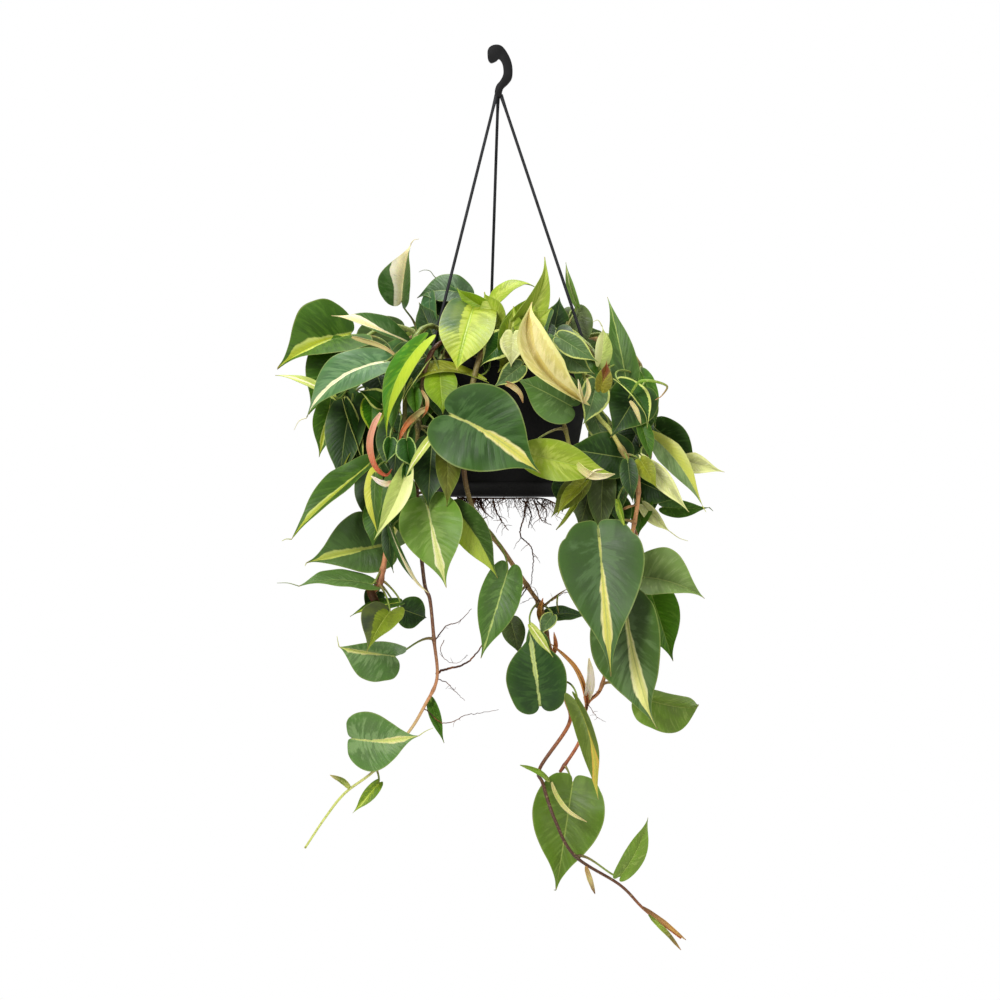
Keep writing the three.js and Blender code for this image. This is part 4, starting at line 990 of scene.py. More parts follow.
def blade_material(name, look):
    recipe = Recipe("blade_" + name, specular=0.2, subsurface=0.06)
    math_, mix, spread = recipe.math, recipe.mix, recipe.spread
    along, vein, offset, under, reach, seed = (recipe.value(key) for key in
                                               ("along", "vein", "offset", "under", "reach", "seed"))
    out = math_("ABSOLUTE", offset)
    right = math_("GREATER_THAN", offset, 0.0)
    shift = math_("MULTIPLY_ADD", seed, 61.0, math_("MULTIPLY", right, 7.3))

    # Streaks run from the midrib to the margin, beside the side veins; their paler colour is partly the
    # leaf's own feathering and partly painted sheen for glossy light streaks on the quilted blade
    streak = recipe.noise(recipe.join(math_("MULTIPLY", vein, 24.0), math_("MULTIPLY", out, 2.0), shift),
                          1.0, 3.0, 0.6)
    jag = recipe.noise(recipe.join(math_("MULTIPLY", vein, 9.0), math_("MULTIPLY", out, 1.2), shift),
                       1.0, 2.0, 0.45)
    fine = recipe.noise(recipe.join(math_("MULTIPLY", vein, 70.0), math_("MULTIPLY", out, 6.0), shift),
                        1.0, 2.0, 0.6)
    broad = recipe.noise(recipe.join(math_("MULTIPLY", vein, 4.0), math_("MULTIPLY", out, 1.6), shift), 1.0)

    # Broad patches of darker green: painted shade, for the light and shade across the undulating blade
    colour = mix(spread(broad, 0.3, 0.7), look["green"], tuple(0.6 * part for part in look["green"]))
    has_stripe = look["left"] or look["right"]
    if has_stripe:
        profile = spread(along, 0.15, look["peak"], look["start"], 1.0)
        widest = math_("MULTIPLY_ADD", right, look["right"] - look["left"], look["left"])
        extent = math_("MULTIPLY", profile, widest)
        beyond = math_("SUBTRACT", out, extent)
        near = spread(beyond, 0.0, 0.5, 0.16, 0.0)
        streak_amount = math_("ADD", streak, near)
    else:
        streak_amount = streak
    streaked = spread(streak_amount, 0.5, 0.68, 0.0, look["streaks"])
    colour = mix(streaked, colour, look["streak"])
    if has_stripe:
        ragged = math_("MULTIPLY_ADD", jag, 2 * look["feather"], -look["feather"])
        ragged = math_("MULTIPLY_ADD", math_("SUBTRACT", streak, 0.5), 0.9 * look["feather"], ragged)
        ragged = math_("MULTIPLY", ragged, spread(along, -0.1, 0.3, 0.35, 1.0))
        inside = spread(math_("SUBTRACT", beyond, ragged), 0.025, -0.02)
        if max(look["left"], look["right"]) < 0.5:
            held = math_("MULTIPLY_ADD", jag, 0.3, spread(along, 0.75, 1.0, 0.48, 0.3))
            inside = math_("MULTIPLY", inside, spread(math_("SUBTRACT", reach, held), 0.08, 0.0))
        deep = spread(math_("DIVIDE", out, math_("ADD", extent, 0.02)), 0.3, 0.85)
        deep = math_("ADD", deep, math_("MULTIPLY_ADD", fine, 0.8, -0.4), clamp=True)
        pale = mix(deep, look["stripe"], look["edge"])
        pale = mix(spread(fine, 0.62, 0.72, 0.0, 0.4), pale, look["streak"])
        colour = mix(inside, colour, pale)
    if look["flank"]:
        edge = math_("MULTIPLY_ADD", streak, -0.24, math_("ADD", reach, 0.12))
        flank = spread(edge, look["flank_from"] - 0.03, look["flank_from"] + 0.03)
        if look["flank_side"] > 0:
            flank = math_("MULTIPLY", flank, right)
        elif look["flank_side"] < 0:
            flank = math_("MULTIPLY", flank, math_("SUBTRACT", 1.0, right))
        if look["flank_to"] < 1:
            reached = math_("MULTIPLY_ADD", streak, 0.3, along)
            flank = math_("MULTIPLY", flank,
                          spread(reached, look["flank_to"], look["flank_to"] + 0.25, 1.0, 0.0))
        colour = mix(flank, colour, look["flank"])

    # The green is fresher towards the margin
    if not look["flank"] and not look["right"] > 0.5:
        fresh = math_("MULTIPLY", spread(reach, 0.6, 1.0), 0.4)
        colour = mix(fresh, colour, mix(0.5, look["green"], tint(80, 124, 24)))

    # Side veins are shallow grooves, and the blade swells a little between them
    wave = math_("PINGPONG", math_("MULTIPLY", vein, 17.0), 0.5)
    groove = math_("MULTIPLY", spread(wave, 0.0, 0.12, 1.0, 0.0), spread(reach, 0.1, 0.95, 1.0, 0.15))
    colour = mix(math_("MULTIPLY", groove, 0.07), colour, tuple(0.55 * part for part in look["green"]))
    midrib = spread(out, 0.008, 0.028, 0.75, 0.0)
    colour = mix(math_("MULTIPLY", midrib, spread(along, 0.5, 1.0, 0.8, 0.2)), colour,
                 tuple(0.5 * (a + b) for a, b in zip(look["streak"], PALE_LIME)))
    colour = mix(spread(reach, 0.955, 0.995, 0.0, 0.35), colour, tuple(0.7 * part for part in PALE_LIME))
    # Broad paler patches in the streak colour: painted light and sheen across the blade
    colour = mix(spread(broad, 0.3, 0.72, 0.0, 0.22), colour, look["streak"])
    colour = mix(spread(along, 0.955, 1.0, 0.0, 0.5), colour, TAN)
    beneath = mix(0.3, mix(0.6, colour, look["under"] or colour), tint(116, 132, 76))
    colour = mix(under, colour, beneath)
    grain = recipe.noise(recipe.place(), 1900.0, 2.0, 0.6)
    colour = mix(spread(grain, 0.35, 0.7, 0.0, 0.1), colour, (0.02, 0.035, 0.01))

    swell = math_("MULTIPLY_ADD", wave, 0.7, math_("MULTIPLY", streak, 0.7))
    height = math_("MULTIPLY_ADD", groove, -0.2, swell)
    height = math_("MULTIPLY_ADD", grain, 0.14, height)
    roughness = math_("MULTIPLY_ADD", under, 0.12, spread(streak, 0.3, 0.7, 0.36, 0.5))
    return recipe.finish(colour, roughness, height, 0.0005, 0.45)


def make_stem_material():
    recipe = Recipe("stem_skin", specular=0.4, subsurface=0.05)
    along = recipe.math("MULTIPLY", recipe.value("along"), 60.0)
    around = recipe.join(recipe.value("ring_x"), recipe.value("ring_y"), along)
    lines = recipe.noise(recipe.node("VectorMath", around, (3.0, 3.0, 0.6),
                                     operation="MULTIPLY").outputs[0], 1.0, 3.0)
    spots = recipe.noise(recipe.place(), 700.0, 3.0, 0.6)
    colour = recipe.mix(recipe.spread(lines, 0.45, 0.7, 0.0, 0.25), recipe.colour("tint"), BROWN)
    colour = recipe.mix(recipe.spread(spots, 0.56, 0.66, 0.0, 0.5), colour, DARK_BROWN)
    colour = recipe.mix(recipe.spread(spots, 0.34, 0.44, 0.3, 0.0), colour, STRAW)
    height = recipe.math("MULTIPLY_ADD", spots, 0.6, lines)
    return recipe.finish(colour, recipe.spread(lines, 0.3, 0.7, 0.42, 0.62), height, 0.0005, 0.6)


def make_sheath_material():
    recipe = Recipe("dry_sheath", specular=0.35, subsurface=0.15)
    along = recipe.math("MULTIPLY", recipe.value("along"), 40.0)
    lines = recipe.noise(recipe.join(recipe.math("MULTIPLY", recipe.value("ring_x"), 5.0), 0.0, along),
                         1.0, 3.0)
    spots = recipe.noise(recipe.place(), 420.0, 3.0, 0.6)
    colour = recipe.mix(recipe.spread(lines, 0.42, 0.66, 0.0, 0.45), recipe.colour("tint"), BROWN)
    colour = recipe.mix(recipe.spread(spots, 0.55, 0.7, 0.0, 0.45), colour, STRAW)
    return recipe.finish(colour, recipe.spread(lines, 0.3, 0.7, 0.5, 0.7), lines, 0.0004, 0.6)


def make_root_material():
    recipe = Recipe("root_skin", specular=0.3)
    rough = recipe.noise(recipe.place(), 900.0, 4.0, 0.65)
    patch = recipe.noise(recipe.place(), 130.0, 2.0)
    colour = recipe.mix(recipe.spread(patch, 0.4, 0.65), tint(66, 40, 28), tint(122, 76, 46))
    colour = recipe.mix(recipe.spread(rough, 0.5, 0.75, 0.0, 0.6), colour, tint(28, 18, 14))
    return recipe.finish(colour, recipe.spread(rough, 0.3, 0.7, 0.7, 0.95), rough, 0.0006, 0.8)


def make_soil_material():
    recipe = Recipe("potting_mix", specular=0.25)
    rough = recipe.noise(recipe.place(), 380.0, 5.0, 0.7)
    patch = recipe.noise(recipe.place(), 60.0, 2.0)
    colour = recipe.mix(recipe.spread(rough, 0.35, 0.65), tint(28, 20, 15), tint(74, 52, 36))
    colour = recipe.mix(recipe.spread(patch, 0.4, 0.7, 0.0, 0.5), colour, tint(18, 13, 10))
    colour = recipe.mix(0.75, colour, recipe.colour("tint"), "MULTIPLY")
    return recipe.finish(colour, recipe.spread(rough, 0.3, 0.7, 0.8, 1.0), rough, 0.0012, 1.0)


def make_plastic(name, dark, light, gloss, texture):
    recipe = Recipe(name, specular=0.2)
    patch = recipe.noise(recipe.place(), 45.0, 3.0, 0.6)
    pores = recipe.noise(recipe.place(), texture, 2.0, 0.6)
    dust = recipe.noise(recipe.place(), 160.0, 4.0, 0.7)
    colour = recipe.mix(recipe.spread(patch, 0.35, 0.7), dark, light)
    colour = recipe.mix(recipe.spread(dust, 0.6, 0.8, 0.0, 0.05), colour, tint(90, 84, 76))
    roughness = recipe.math("MULTIPLY_ADD", pores, 0.1, recipe.spread(patch, 0.3, 0.7, gloss, gloss + 0.12))
    return recipe.finish(colour, roughness, pores, 0.00012, 0.5)


stem_material = make_stem_material()
sheath_material = make_sheath_material()
root_material = make_root_material()
soil_material = make_soil_material()
pot_material = make_plastic("pot_plastic", tint(4, 3, 3), tint(8, 6, 6), 0.44, 1400.0)
hook_material = make_plastic("hook_plastic", tint(10, 10, 10), tint(18, 18, 19), 0.36, 1600.0)
strand_material = make_plastic("strand_plastic", tint(24, 25, 27), tint(42, 43, 46), 0.4, 2400.0)
blade_materials = {name: blade_material(name, look) for name, look in SKINS.items()}


# The holder: a lathed pot, a moulded hook, and three strands that are clipped over the rim

def inner_radius(z):
    bottom, top = BASE_RADIUS - WALL, RIM_RADIUS - LIP_OVERHANG - WALL
    return bottom + (top - bottom) * (z - BASE_BOTTOM) / (RIM_TOP - BASE_BOTTOM)


def corner_arc(centre, radius, start, end, count=6):
    angles = np.radians(np.linspace(start, end, count))
    return [(centre[0] + radius * math.cos(angle),
             centre[1] + radius * math.sin(angle)) for angle in angles]


def lathe(profile, count):
    """Points and faces of a closed turned solid whose profile starts and ends on the axis."""
    profile = np.array(profile)
    turns = np.linspace(0, 2 * math.pi, count, endpoint=False)
    rings = profile[1:-1]
    points = [(POT_AXIS_X, 0, profile[0][1])]
    for radius, z in rings:
        points += [(POT_AXIS_X + radius * math.cos(turn), radius * math.sin(turn), z) for turn in turns]
    points.append((POT_AXIS_X, 0, profile[-1][1]))
    faces = []
    for side in range(count):
        following = (side + 1) % count
        faces.append((0, 1 + following, 1 + side))
        for ring in range(len(rings) - 1):
            a, b = 1 + ring * count + side, 1 + ring * count + following
            faces.append((a, b, b + count, a + count))
        last = 1 + (len(rings) - 1) * count
        faces.append((len(points) - 1, last + side, last + following))
    return points, faces


def pot_profile():
    lip_bottom, floor_top = RIM_TOP - LIP_HEIGHT, BASE_BOTTOM + WALL
    lip = 1.5 * MM
    under_lip = lip_bottom + lip
    wall_top = inner_radius(under_lip) + WALL
    foot = 2.5 * MM
    step = 0.35 * MM
    ring_low, ring_high = BASE_BOTTOM + 9 * MM, BASE_BOTTOM + 12 * MM
    profile = [(0, BASE_BOTTOM), (BASE_RADIUS * 0.5, BASE_BOTTOM)]
    profile += corner_arc((BASE_RADIUS - foot, BASE_BOTTOM + foot), foot, -90, -8)
    profile += [(inner_radius(ring_low) + WALL, ring_low),
                (inner_radius(ring_low) + WALL + step, ring_low + step),
                (inner_radius(ring_high) + WALL + step, ring_high - step),
                (inner_radius(ring_high) + WALL, ring_high)]
    profile += [(inner_radius(z) + WALL, z) for z in np.linspace(ring_high + 8 * MM, under_lip - 4 * MM, 8)]
    profile += [(wall_top, under_lip), (RIM_RADIUS - lip, under_lip),
                (RIM_RADIUS - lip, lip_bottom + 0.2 * MM)]
    profile += corner_arc((RIM_RADIUS - lip / 2, lip_bottom + 0.4 * MM), 0.4 * MM, -150, -10, 4)
    profile += corner_arc((RIM_RADIUS - 1.6 * MM, RIM_TOP - 1.6 * MM), 1.6 * MM, 0, 90, 7)
    inside = inner_radius(RIM_TOP)
    profile += corner_arc((inside + 0.8 * MM, RIM_TOP - 0.8 * MM), 0.8 * MM, 90, 180, 5)
    profile += [(inner_radius(z), z) for z in np.linspace(RIM_TOP - 4 * MM, floor_top + 3 * MM, 10)]
    profile += [(inner_radius(floor_top) - 1 * MM, floor_top), (0, floor_top)]
    return profile


def bare_object(name, points, faces, material=None):
    mesh = bpy.data.meshes.new(name)
    mesh.from_pydata([tuple(point) for point in points], [], faces)
    if material:
        mesh.materials.append(material)
    thing = bpy.data.objects.new(name, mesh)
    bpy.context.scene.collection.objects.link(thing)
    return thing


def apply_modifiers(thing):
    graph = bpy.context.evaluated_depsgraph_get()
    mesh = bpy.data.meshes.new_from_object(thing.evaluated_get(graph))
    thing.modifiers.clear()
    thing.data = mesh


def shade_by_angle(thing, degrees):
    mesh = thing.data
    mesh.polygons.foreach_set("use_smooth", [True] * len(mesh.polygons))
    mesh.set_sharp_from_angle(angle=math.radians(degrees))


def build_pot():
    pot = bare_object("nursery_pot", *lathe(pot_profile(), 128), pot_material)
    drills = Shell()
    centres = [(POT_AXIS_X, 0.0)]
    for hole in range(DRAIN_HOLES):
        angle = 2 * math.pi * hole / DRAIN_HOLES
        centres.append((POT_AXIS_X + DRAIN_RING_RADIUS * math.cos(angle),
                        DRAIN_RING_RADIUS * math.sin(angle)))
    for x, y in centres:
        path = np.array([(x, y, BASE_BOTTOM - 4 * MM), (x, y, BASE_BOTTOM + 5 * MM)])
        add_tube(drills, path, np.full(2, DRAIN_HOLE_RADIUS), None, 24)
    cutter = drills.build("drain_hole_cutter", pot_material)
    cut = pot.modifiers.new("holes", "BOOLEAN")
    cut.operation, cut.solver, cut.object = "DIFFERENCE", "EXACT", cutter
    apply_modifiers(pot)
    bpy.data.objects.remove(cutter)
    shade_by_angle(pot, 35)
    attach(pot, "root")
    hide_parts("pot")
    return pot


HOOK_OUTLINE = [
    (-9.2, 2.5), (-8.8, 7.4), (-5.8, 10.4), (-1, 11.2), (3.2, 9.2), (7.2, 3.6), (10, -3),
    (10.9, -9.6), (10.2, -15.6), (7, -20.2), (3.6, -23.4), (2.4, -27), (2.4, -30.4),
    (-3.4, -30.4), (-3.3, -25.4), (-1.8, -21), (1, -17.6), (3.2, -13.2), (3.5, -8.8),
    (2.6, -3.6), (0, 0), (-2.4, -1.8), (-6.2, -3.2), (-8.4, -1.2),
]
HOOK_THICKNESS = 6 * MM
HOOK_BOTTOM = -30.4 * MM


def build_hook():
    """The hook's outline, rounded between its two flat ends, as a flat bar with bevelled edges."""
    outline = [np.array([x, 0, z]) * MM for x, z in HOOK_OUTLINE]
    flat_start, flat_end = 12, 13
    ring = outline[flat_end:] + outline[:flat_start + 1]
    border = smooth_path(ring, 5)[:, [0, 2]]
    count = len(border)
    half = HOOK_THICKNESS / 2
    points = [(x, -half, z) for x, z in border] + [(x, half, z) for x, z in border]
    faces = [tuple(range(count)), tuple(range(2 * count - 1, count - 1, -1))]
    faces += [(i, count + i, count + (i + 1) % count, (i + 1) % count) for i in range(count)]
    hook = bare_object("hanger_hook_moulded", points, faces, hook_material)
    bevel = hook.modifiers.new("edges", "BEVEL")
    bevel.width, bevel.segments, bevel.limit_method = 1.3 * MM, 4, "ANGLE"
    apply_modifiers(hook)
    fix_normals(hook)
    shade_by_angle(hook, 50)
    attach(hook, "root")
    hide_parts("hanger_hook")
    return hook


def fix_normals(thing):
    import bmesh
    work = bmesh.new()
    work.from_mesh(thing.data)
    bmesh.ops.recalc_face_normals(work, faces=work.faces)
    work.to_mesh(thing.data)
    work.free()


def build_strand(side, degrees):
    angle = math.radians(degrees)
    out = np.array([math.cos(angle), math.sin(angle), 0.0])
    turn = np.array([-math.sin(angle), math.cos(angle), 0.0])
    axis = np.array([POT_AXIS_X, 0, 0])
    top = out * STRAND_TOP_RADIUS + [-0.4 * MM, 0, HOOK_BOTTOM + 1.5 * MM]
    ring = (inner_radius(RIM_TOP) + RIM_RADIUS) / 2
    bottom = axis + out * ring + [0, 0, RIM_TOP + CLEARANCE + CLIP_THICKNESS / 2]
    path = top + np.linspace(0, 1, 60)[:, None] * (bottom - top)
    spread = np.interp(np.linspace(0, 1, 60), [0, 0.02, 0.06, 0.97, 1], [1.35, 1.2, 1.0, 1.0, 1.5])
    shell = Shell()
    add_tube(shell, path, STRAND_RADIUS * spread, None, 16)

    inner, outer = inner_radius(RIM_TOP) - CLEARANCE, RIM_RADIUS + CLEARANCE
    high, low = RIM_TOP + CLEARANCE, RIM_TOP - CLIP_LEG
    inner_low = inner_radius(low) - CLEARANCE
    outline = [(outer + CLIP_THICKNESS, low), (outer + CLIP_THICKNESS, high + 0.5 * CLIP_THICKNESS),
               (outer + 0.6 * CLIP_THICKNESS, high + CLIP_THICKNESS),
               (inner - 0.6 * CLIP_THICKNESS, high + CLIP_THICKNESS),
               (inner - CLIP_THICKNESS, high + 0.5 * CLIP_THICKNESS), (inner_low - CLIP_THICKNESS, low),
               (inner_low, low), (inner, high), (outer, high), (outer, low)]
    half = CLIP_WIDTH / 2
    count = len(outline)
    points = [axis + out * radius + turn * offset + [0, 0, z]
              for offset in (-half, half) for radius, z in outline]
    faces = [tuple(range(count)), tuple(range(2 * count - 1, count - 1, -1))]
    faces += [(i, count + i, count + (i + 1) % count, (i + 1) % count) for i in range(count)]
    shell.add(points, faces)
    strand = shell.build("hanger_strand_" + side + "_moulded", strand_material)
    fix_normals(strand)
    shade_by_angle(strand, 40)
    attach(strand, "root")
    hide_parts("hanger_strand_" + side)
    return strand


def add_chip(shell, centre, size, colour, random):
    """An irregular crumb: a cube's corners and face middles, pushed about."""
    corners = np.array([(x, y, z) for x in (-1, 1) for y in (-1, 1) for z in (-1, 1)], float)
    middles = np.array([(-1, 0, 0), (1, 0, 0), (0, -1, 0), (0, 1, 0), (0, 0, -1), (0, 0, 1)], float) * 1.35
    points = np.vstack([corners, middles]) * random.uniform(0.6, 1.0, (14, 3)) * size / 2
    spin = random.uniform(0, 2 * math.pi, 3)
    for first, second, angle in ((0, 1, spin[0]), (1, 2, 0.3 * math.sin(spin[1])),
                                 (0, 2, 0.3 * math.sin(spin[2]))):
        a, b = points[:, first].copy(), points[:, second].copy()
        points[:, first] = a * math.cos(angle) - b * math.sin(angle)
        points[:, second] = a * math.sin(angle) + b * math.cos(angle)
    rounds = {8: (0, 1, 3, 2), 9: (4, 6, 7, 5), 10: (0, 4, 5, 1), 11: (2, 3, 7, 6), 12: (0, 2, 6, 4),
              13: (1, 5, 7, 3)}
    faces = []
    for middle, border in rounds.items():
        for here, there in zip(border, border[1:] + border[:1]):
            faces.append((middle, here, there))
    shell.add(points + centre, faces, tint=np.tile(colour, (14, 1)))


def build_soil():
    """Potting mix: a lumpy top in the pot, with bark, crumbs and white perlite on it."""
    random = np.random.default_rng(7)
    bottom = BASE_BOTTOM + WALL + CLEARANCE
    rings, count = 30, 96
    outer = inner_radius(SOIL_TOP) - CLEARANCE
    radii = np.linspace(outer, 0, rings)[:-1]
    turns = np.linspace(0, 2 * math.pi, count, endpoint=False)
    waves = [(random.uniform(30, 260), random.uniform(30, 260), random.uniform(0, 6.3)) for _ in range(14)]
    points = [(POT_AXIS_X, 0, bottom)]
    for turn in turns:
        reach = inner_radius(bottom) - CLEARANCE
        points.append((POT_AXIS_X + reach * math.cos(turn), reach * math.sin(turn), bottom))
    for ring, radius in enumerate(radii):
        for turn in turns:
            x, y = radius * math.cos(turn), radius * math.sin(turn)
            lump = sum(math.sin(a * x + b * y + c) for a, b, c in waves) / 14
            lump = -1.2 * MM + 2.2 * MM * lump + random.uniform(-0.25, 0.25) * MM
            points.append((POT_AXIS_X + x, y, SOIL_TOP + min(0, lump) * min(1, ring / 2)))
    points.append((POT_AXIS_X, 0, SOIL_TOP - 1 * MM))
    faces = []
    for side in range(count):
        following = (side + 1) % count
        faces.append((0, 1 + following, 1 + side))
        for ring in range(rings - 1):
            a, b = 1 + ring * count + side, 1 + ring * count + following
            faces.append((a, b, b + count, a + count))
        last = 1 + (rings - 1) * count
        faces.append((len(points) - 1, last + side, last + following))
    shell = Shell()
    shell.add(points, faces, tint=np.ones((len(points), 3)))
    for _ in range(260):
        reach, turn = (outer - 4 * MM) * math.sqrt(random.uniform()), random.uniform(0, 2 * math.pi)
        bark = random.uniform() < 0.72
        size = random.uniform(2.5, 8) * MM if bark else random.uniform(1.2, 3) * MM
        shade = tuple(random.uniform(0.5, 1.6) * part for part in (1.2, 0.85, 0.6)) if bark else (7.0,
                                                                                                  7.0, 6.6)
        flat = np.array([1, 0.55, 0.4]) if bark else np.ones(3)
        centre = (POT_AXIS_X + reach * math.cos(turn), reach * math.sin(turn), SOIL_TOP - 0.4 * MM)
        add_chip(shell, np.array(centre), size * flat, shade, random)
    soil = shell.build("potting_mix_surface", soil_material)
    shade_by_angle(soil, 30)
    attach(soil, "root")
    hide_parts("soil")
    return soil


# Roots

def wander(start, heading, length, random, wiggle=0.45, fall=0.12, step=1.6 * MM):
    """A path that sets off in a heading, wiggles, and bends down as it goes."""
    here, heading = np.array(start, float), unit(np.array(heading, float))
    path = [here]
    for _ in range(max(3, int(length / step))):
        heading = unit(heading + random.normal(0, wiggle, 3) * 0.5 + [0, 0, -fall])
        here = here + heading * step
        path.append(here)
    return np.array(path)


def add_root(shell, path, start_radius, end_radius, sides=6):
    radii = np.linspace(start_radius, end_radius, len(path)) * MM
    add_tube(shell, path, radii, None, sides)


# Roots that grew out of a drain hole, in mm from the middle of the pot's floor
ROOT_RUNNER = [
    (-36, 0, 1.9), (-36, 0, -0.7), (-34, -6, -0.7), (-20, -24, -0.7), (4, -32, -0.7), (30, -26, -0.8),
    (42, -20, -5),
]
ROOT_BRANCHES = [
    [(-33, -8, -2), (-36, -14, -9), (-30, -18, -16)],
    [(-27, -15, -2), (-25, -20, -12), (-31, -22, -22)],
    [(-18, -25, -2), (-16, -28, -10), (-8, -30, -17)],
    [(-8, -28, -2), (-4, -33, -14), (4, -32, -26)],
    [(19, -30, -3), (17, -31, -14), (13.6, -32, -30), (21.6, -31, -38), (24, -30, -50), (22, -30, -70)],
    [(24, -29, -2), (27, -32, -9), (30, -32, -17), (38, -30, -22)],
    [(-34, -6, -2), (-38, -12, -10), (-31, -18, -18), (-24, -22, -14)],
    [(-22, -22, -2), (-28, -26, -12), (-20, -28, -19), (-12, -28, -15)],
    [(16, -30, -3), (22, -32, -12), (20, -30, -24)],
    [(27, -27, -3), (34, -30, -10), (33, -28, -20)],
]


def build_drain_roots():
    random = np.random.default_rng(23)
    shell = Shell()
    floor = np.array([POT_AXIS_X, 0, BASE_BOTTOM - CLEARANCE])
    runner = resample(smooth_path(np.array(ROOT_RUNNER) * MM + floor, 8), 1.5 * MM)
    add_root(shell, runner, 0.9, 0.6)
    for points in ROOT_BRANCHES:
        path = resample(smooth_path(np.array(points) * MM + floor, 8), 1.2 * MM)
        path = path + random.normal(0, 0.25 * MM, path.shape)
        add_root(shell, path, 0.7, 0.3)
        for _ in range(7):
            start = path[random.integers(1, len(path) - 2)]
            heading = (random.uniform(-1, 1), random.uniform(-0.6, 0.6), random.uniform(-1, 0.1))
            add_root(shell, wander(start, heading, random.uniform(5, 14) * MM, random), 0.3, 0.12, 5)
    for _ in range(160):
        start = runner[random.integers(2, len(runner) - 1)]
        left = start[0] < POT_AXIS_X - 12 * MM
        heading = (random.uniform(-0.9, 0.9), random.uniform(-0.7, 0.5), random.uniform(-1.0, -0.2))
        length = random.uniform(10, 24) * MM if left else random.uniform(6, 26) * MM
        width = random.uniform(0.3, 0.6) if left else random.uniform(0.16, 0.34)
        add_root(shell, wander(start, heading, length, random, 0.6, 0.08), width, 0.1, 5)
    roots = shell.build("drain_root_mat", root_material)
    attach(roots, "root")
    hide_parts("drain_roots")
    return roots


# Roots in the air, each from a node of a stem: its points and its radii in mm
AERIAL_ROOTS = [
    ([(434, 642, -90), (440, 634, -91), (446, 626, -92), (456, 623, -92), (463, 618, -92),
      (471, 609, -92)], 0.55, 0.2),
    ([(436, 674, -95), (446, 669, -94), (458, 667, -92), (470, 660, -92), (479, 650, -92),
      (486, 638, -92)], 1.0, 0.4),
    ([(444, 640, -91), (440, 650, -92), (446, 660, -93), (457, 663, -93), (468, 655, -93)], 0.3, 0.12),
    ([(437, 678, -96), (447, 683, -97), (456, 692, -98), (465, 701, -98)], 0.4, 0.15),
    ([(424, 708, -94), (440, 722, -96), (452, 722, -97), (466, 715, -98), (480, 713, -98),
      (498, 710, -98)], 0.45, 0.15),
    ([(474, 514, -86), (478, 540, -90), (484, 560, -92), (497, 575, -93), (506, 581, -93)], 0.4, 0.15),
    ([(527, 587, -76), (522, 596, -80), (516, 605, -84), (511, 614, -86)], 0.5, 0.3),
    ([(541, 606, -72), (534, 598, -76), (528, 600, -80), (520, 604, -82)], 0.4, 0.12),
    ([(541, 610, -72), (536, 590, -78), (529, 586, -82)], 0.35, 0.12),
    ([(542, 608, -72), (556, 598, -78), (566, 592, -84), (573, 596, -88)], 0.5, 0.15),
    ([(637, 476, -90), (628, 488, -94), (622, 500, -96)], 0.35, 0.12),
    ([(602, 690, -70), (590, 700, -80), (582, 722, -86), (580, 735, -88)], 0.4, 0.15),
    ([(588, 704, -74), (596, 716, -80), (606, 722, -84)], 0.3, 0.12),
]


def build_aerial_roots():
    shell = Shell()
    random = np.random.default_rng(31)
    for points, start_radius, end_radius in AERIAL_ROOTS:
        path = resample(smooth_path([place(point) for point in points], 6), 1.5 * MM)
        path[1:] += random.normal(0, 0.22 * MM, path[1:].shape)
        add_root(shell, path, start_radius, end_radius)
        for _ in range(3):
            start = path[random.integers(2, len(path) - 2)]
            heading = random.normal(0, 1, 3)
            add_root(shell, wander(start, heading, random.uniform(3, 8) * MM, random), 0.2, 0.1, 5)
    roots = shell.build("aerial_roots", root_material)
    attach(roots, "root")
    return roots


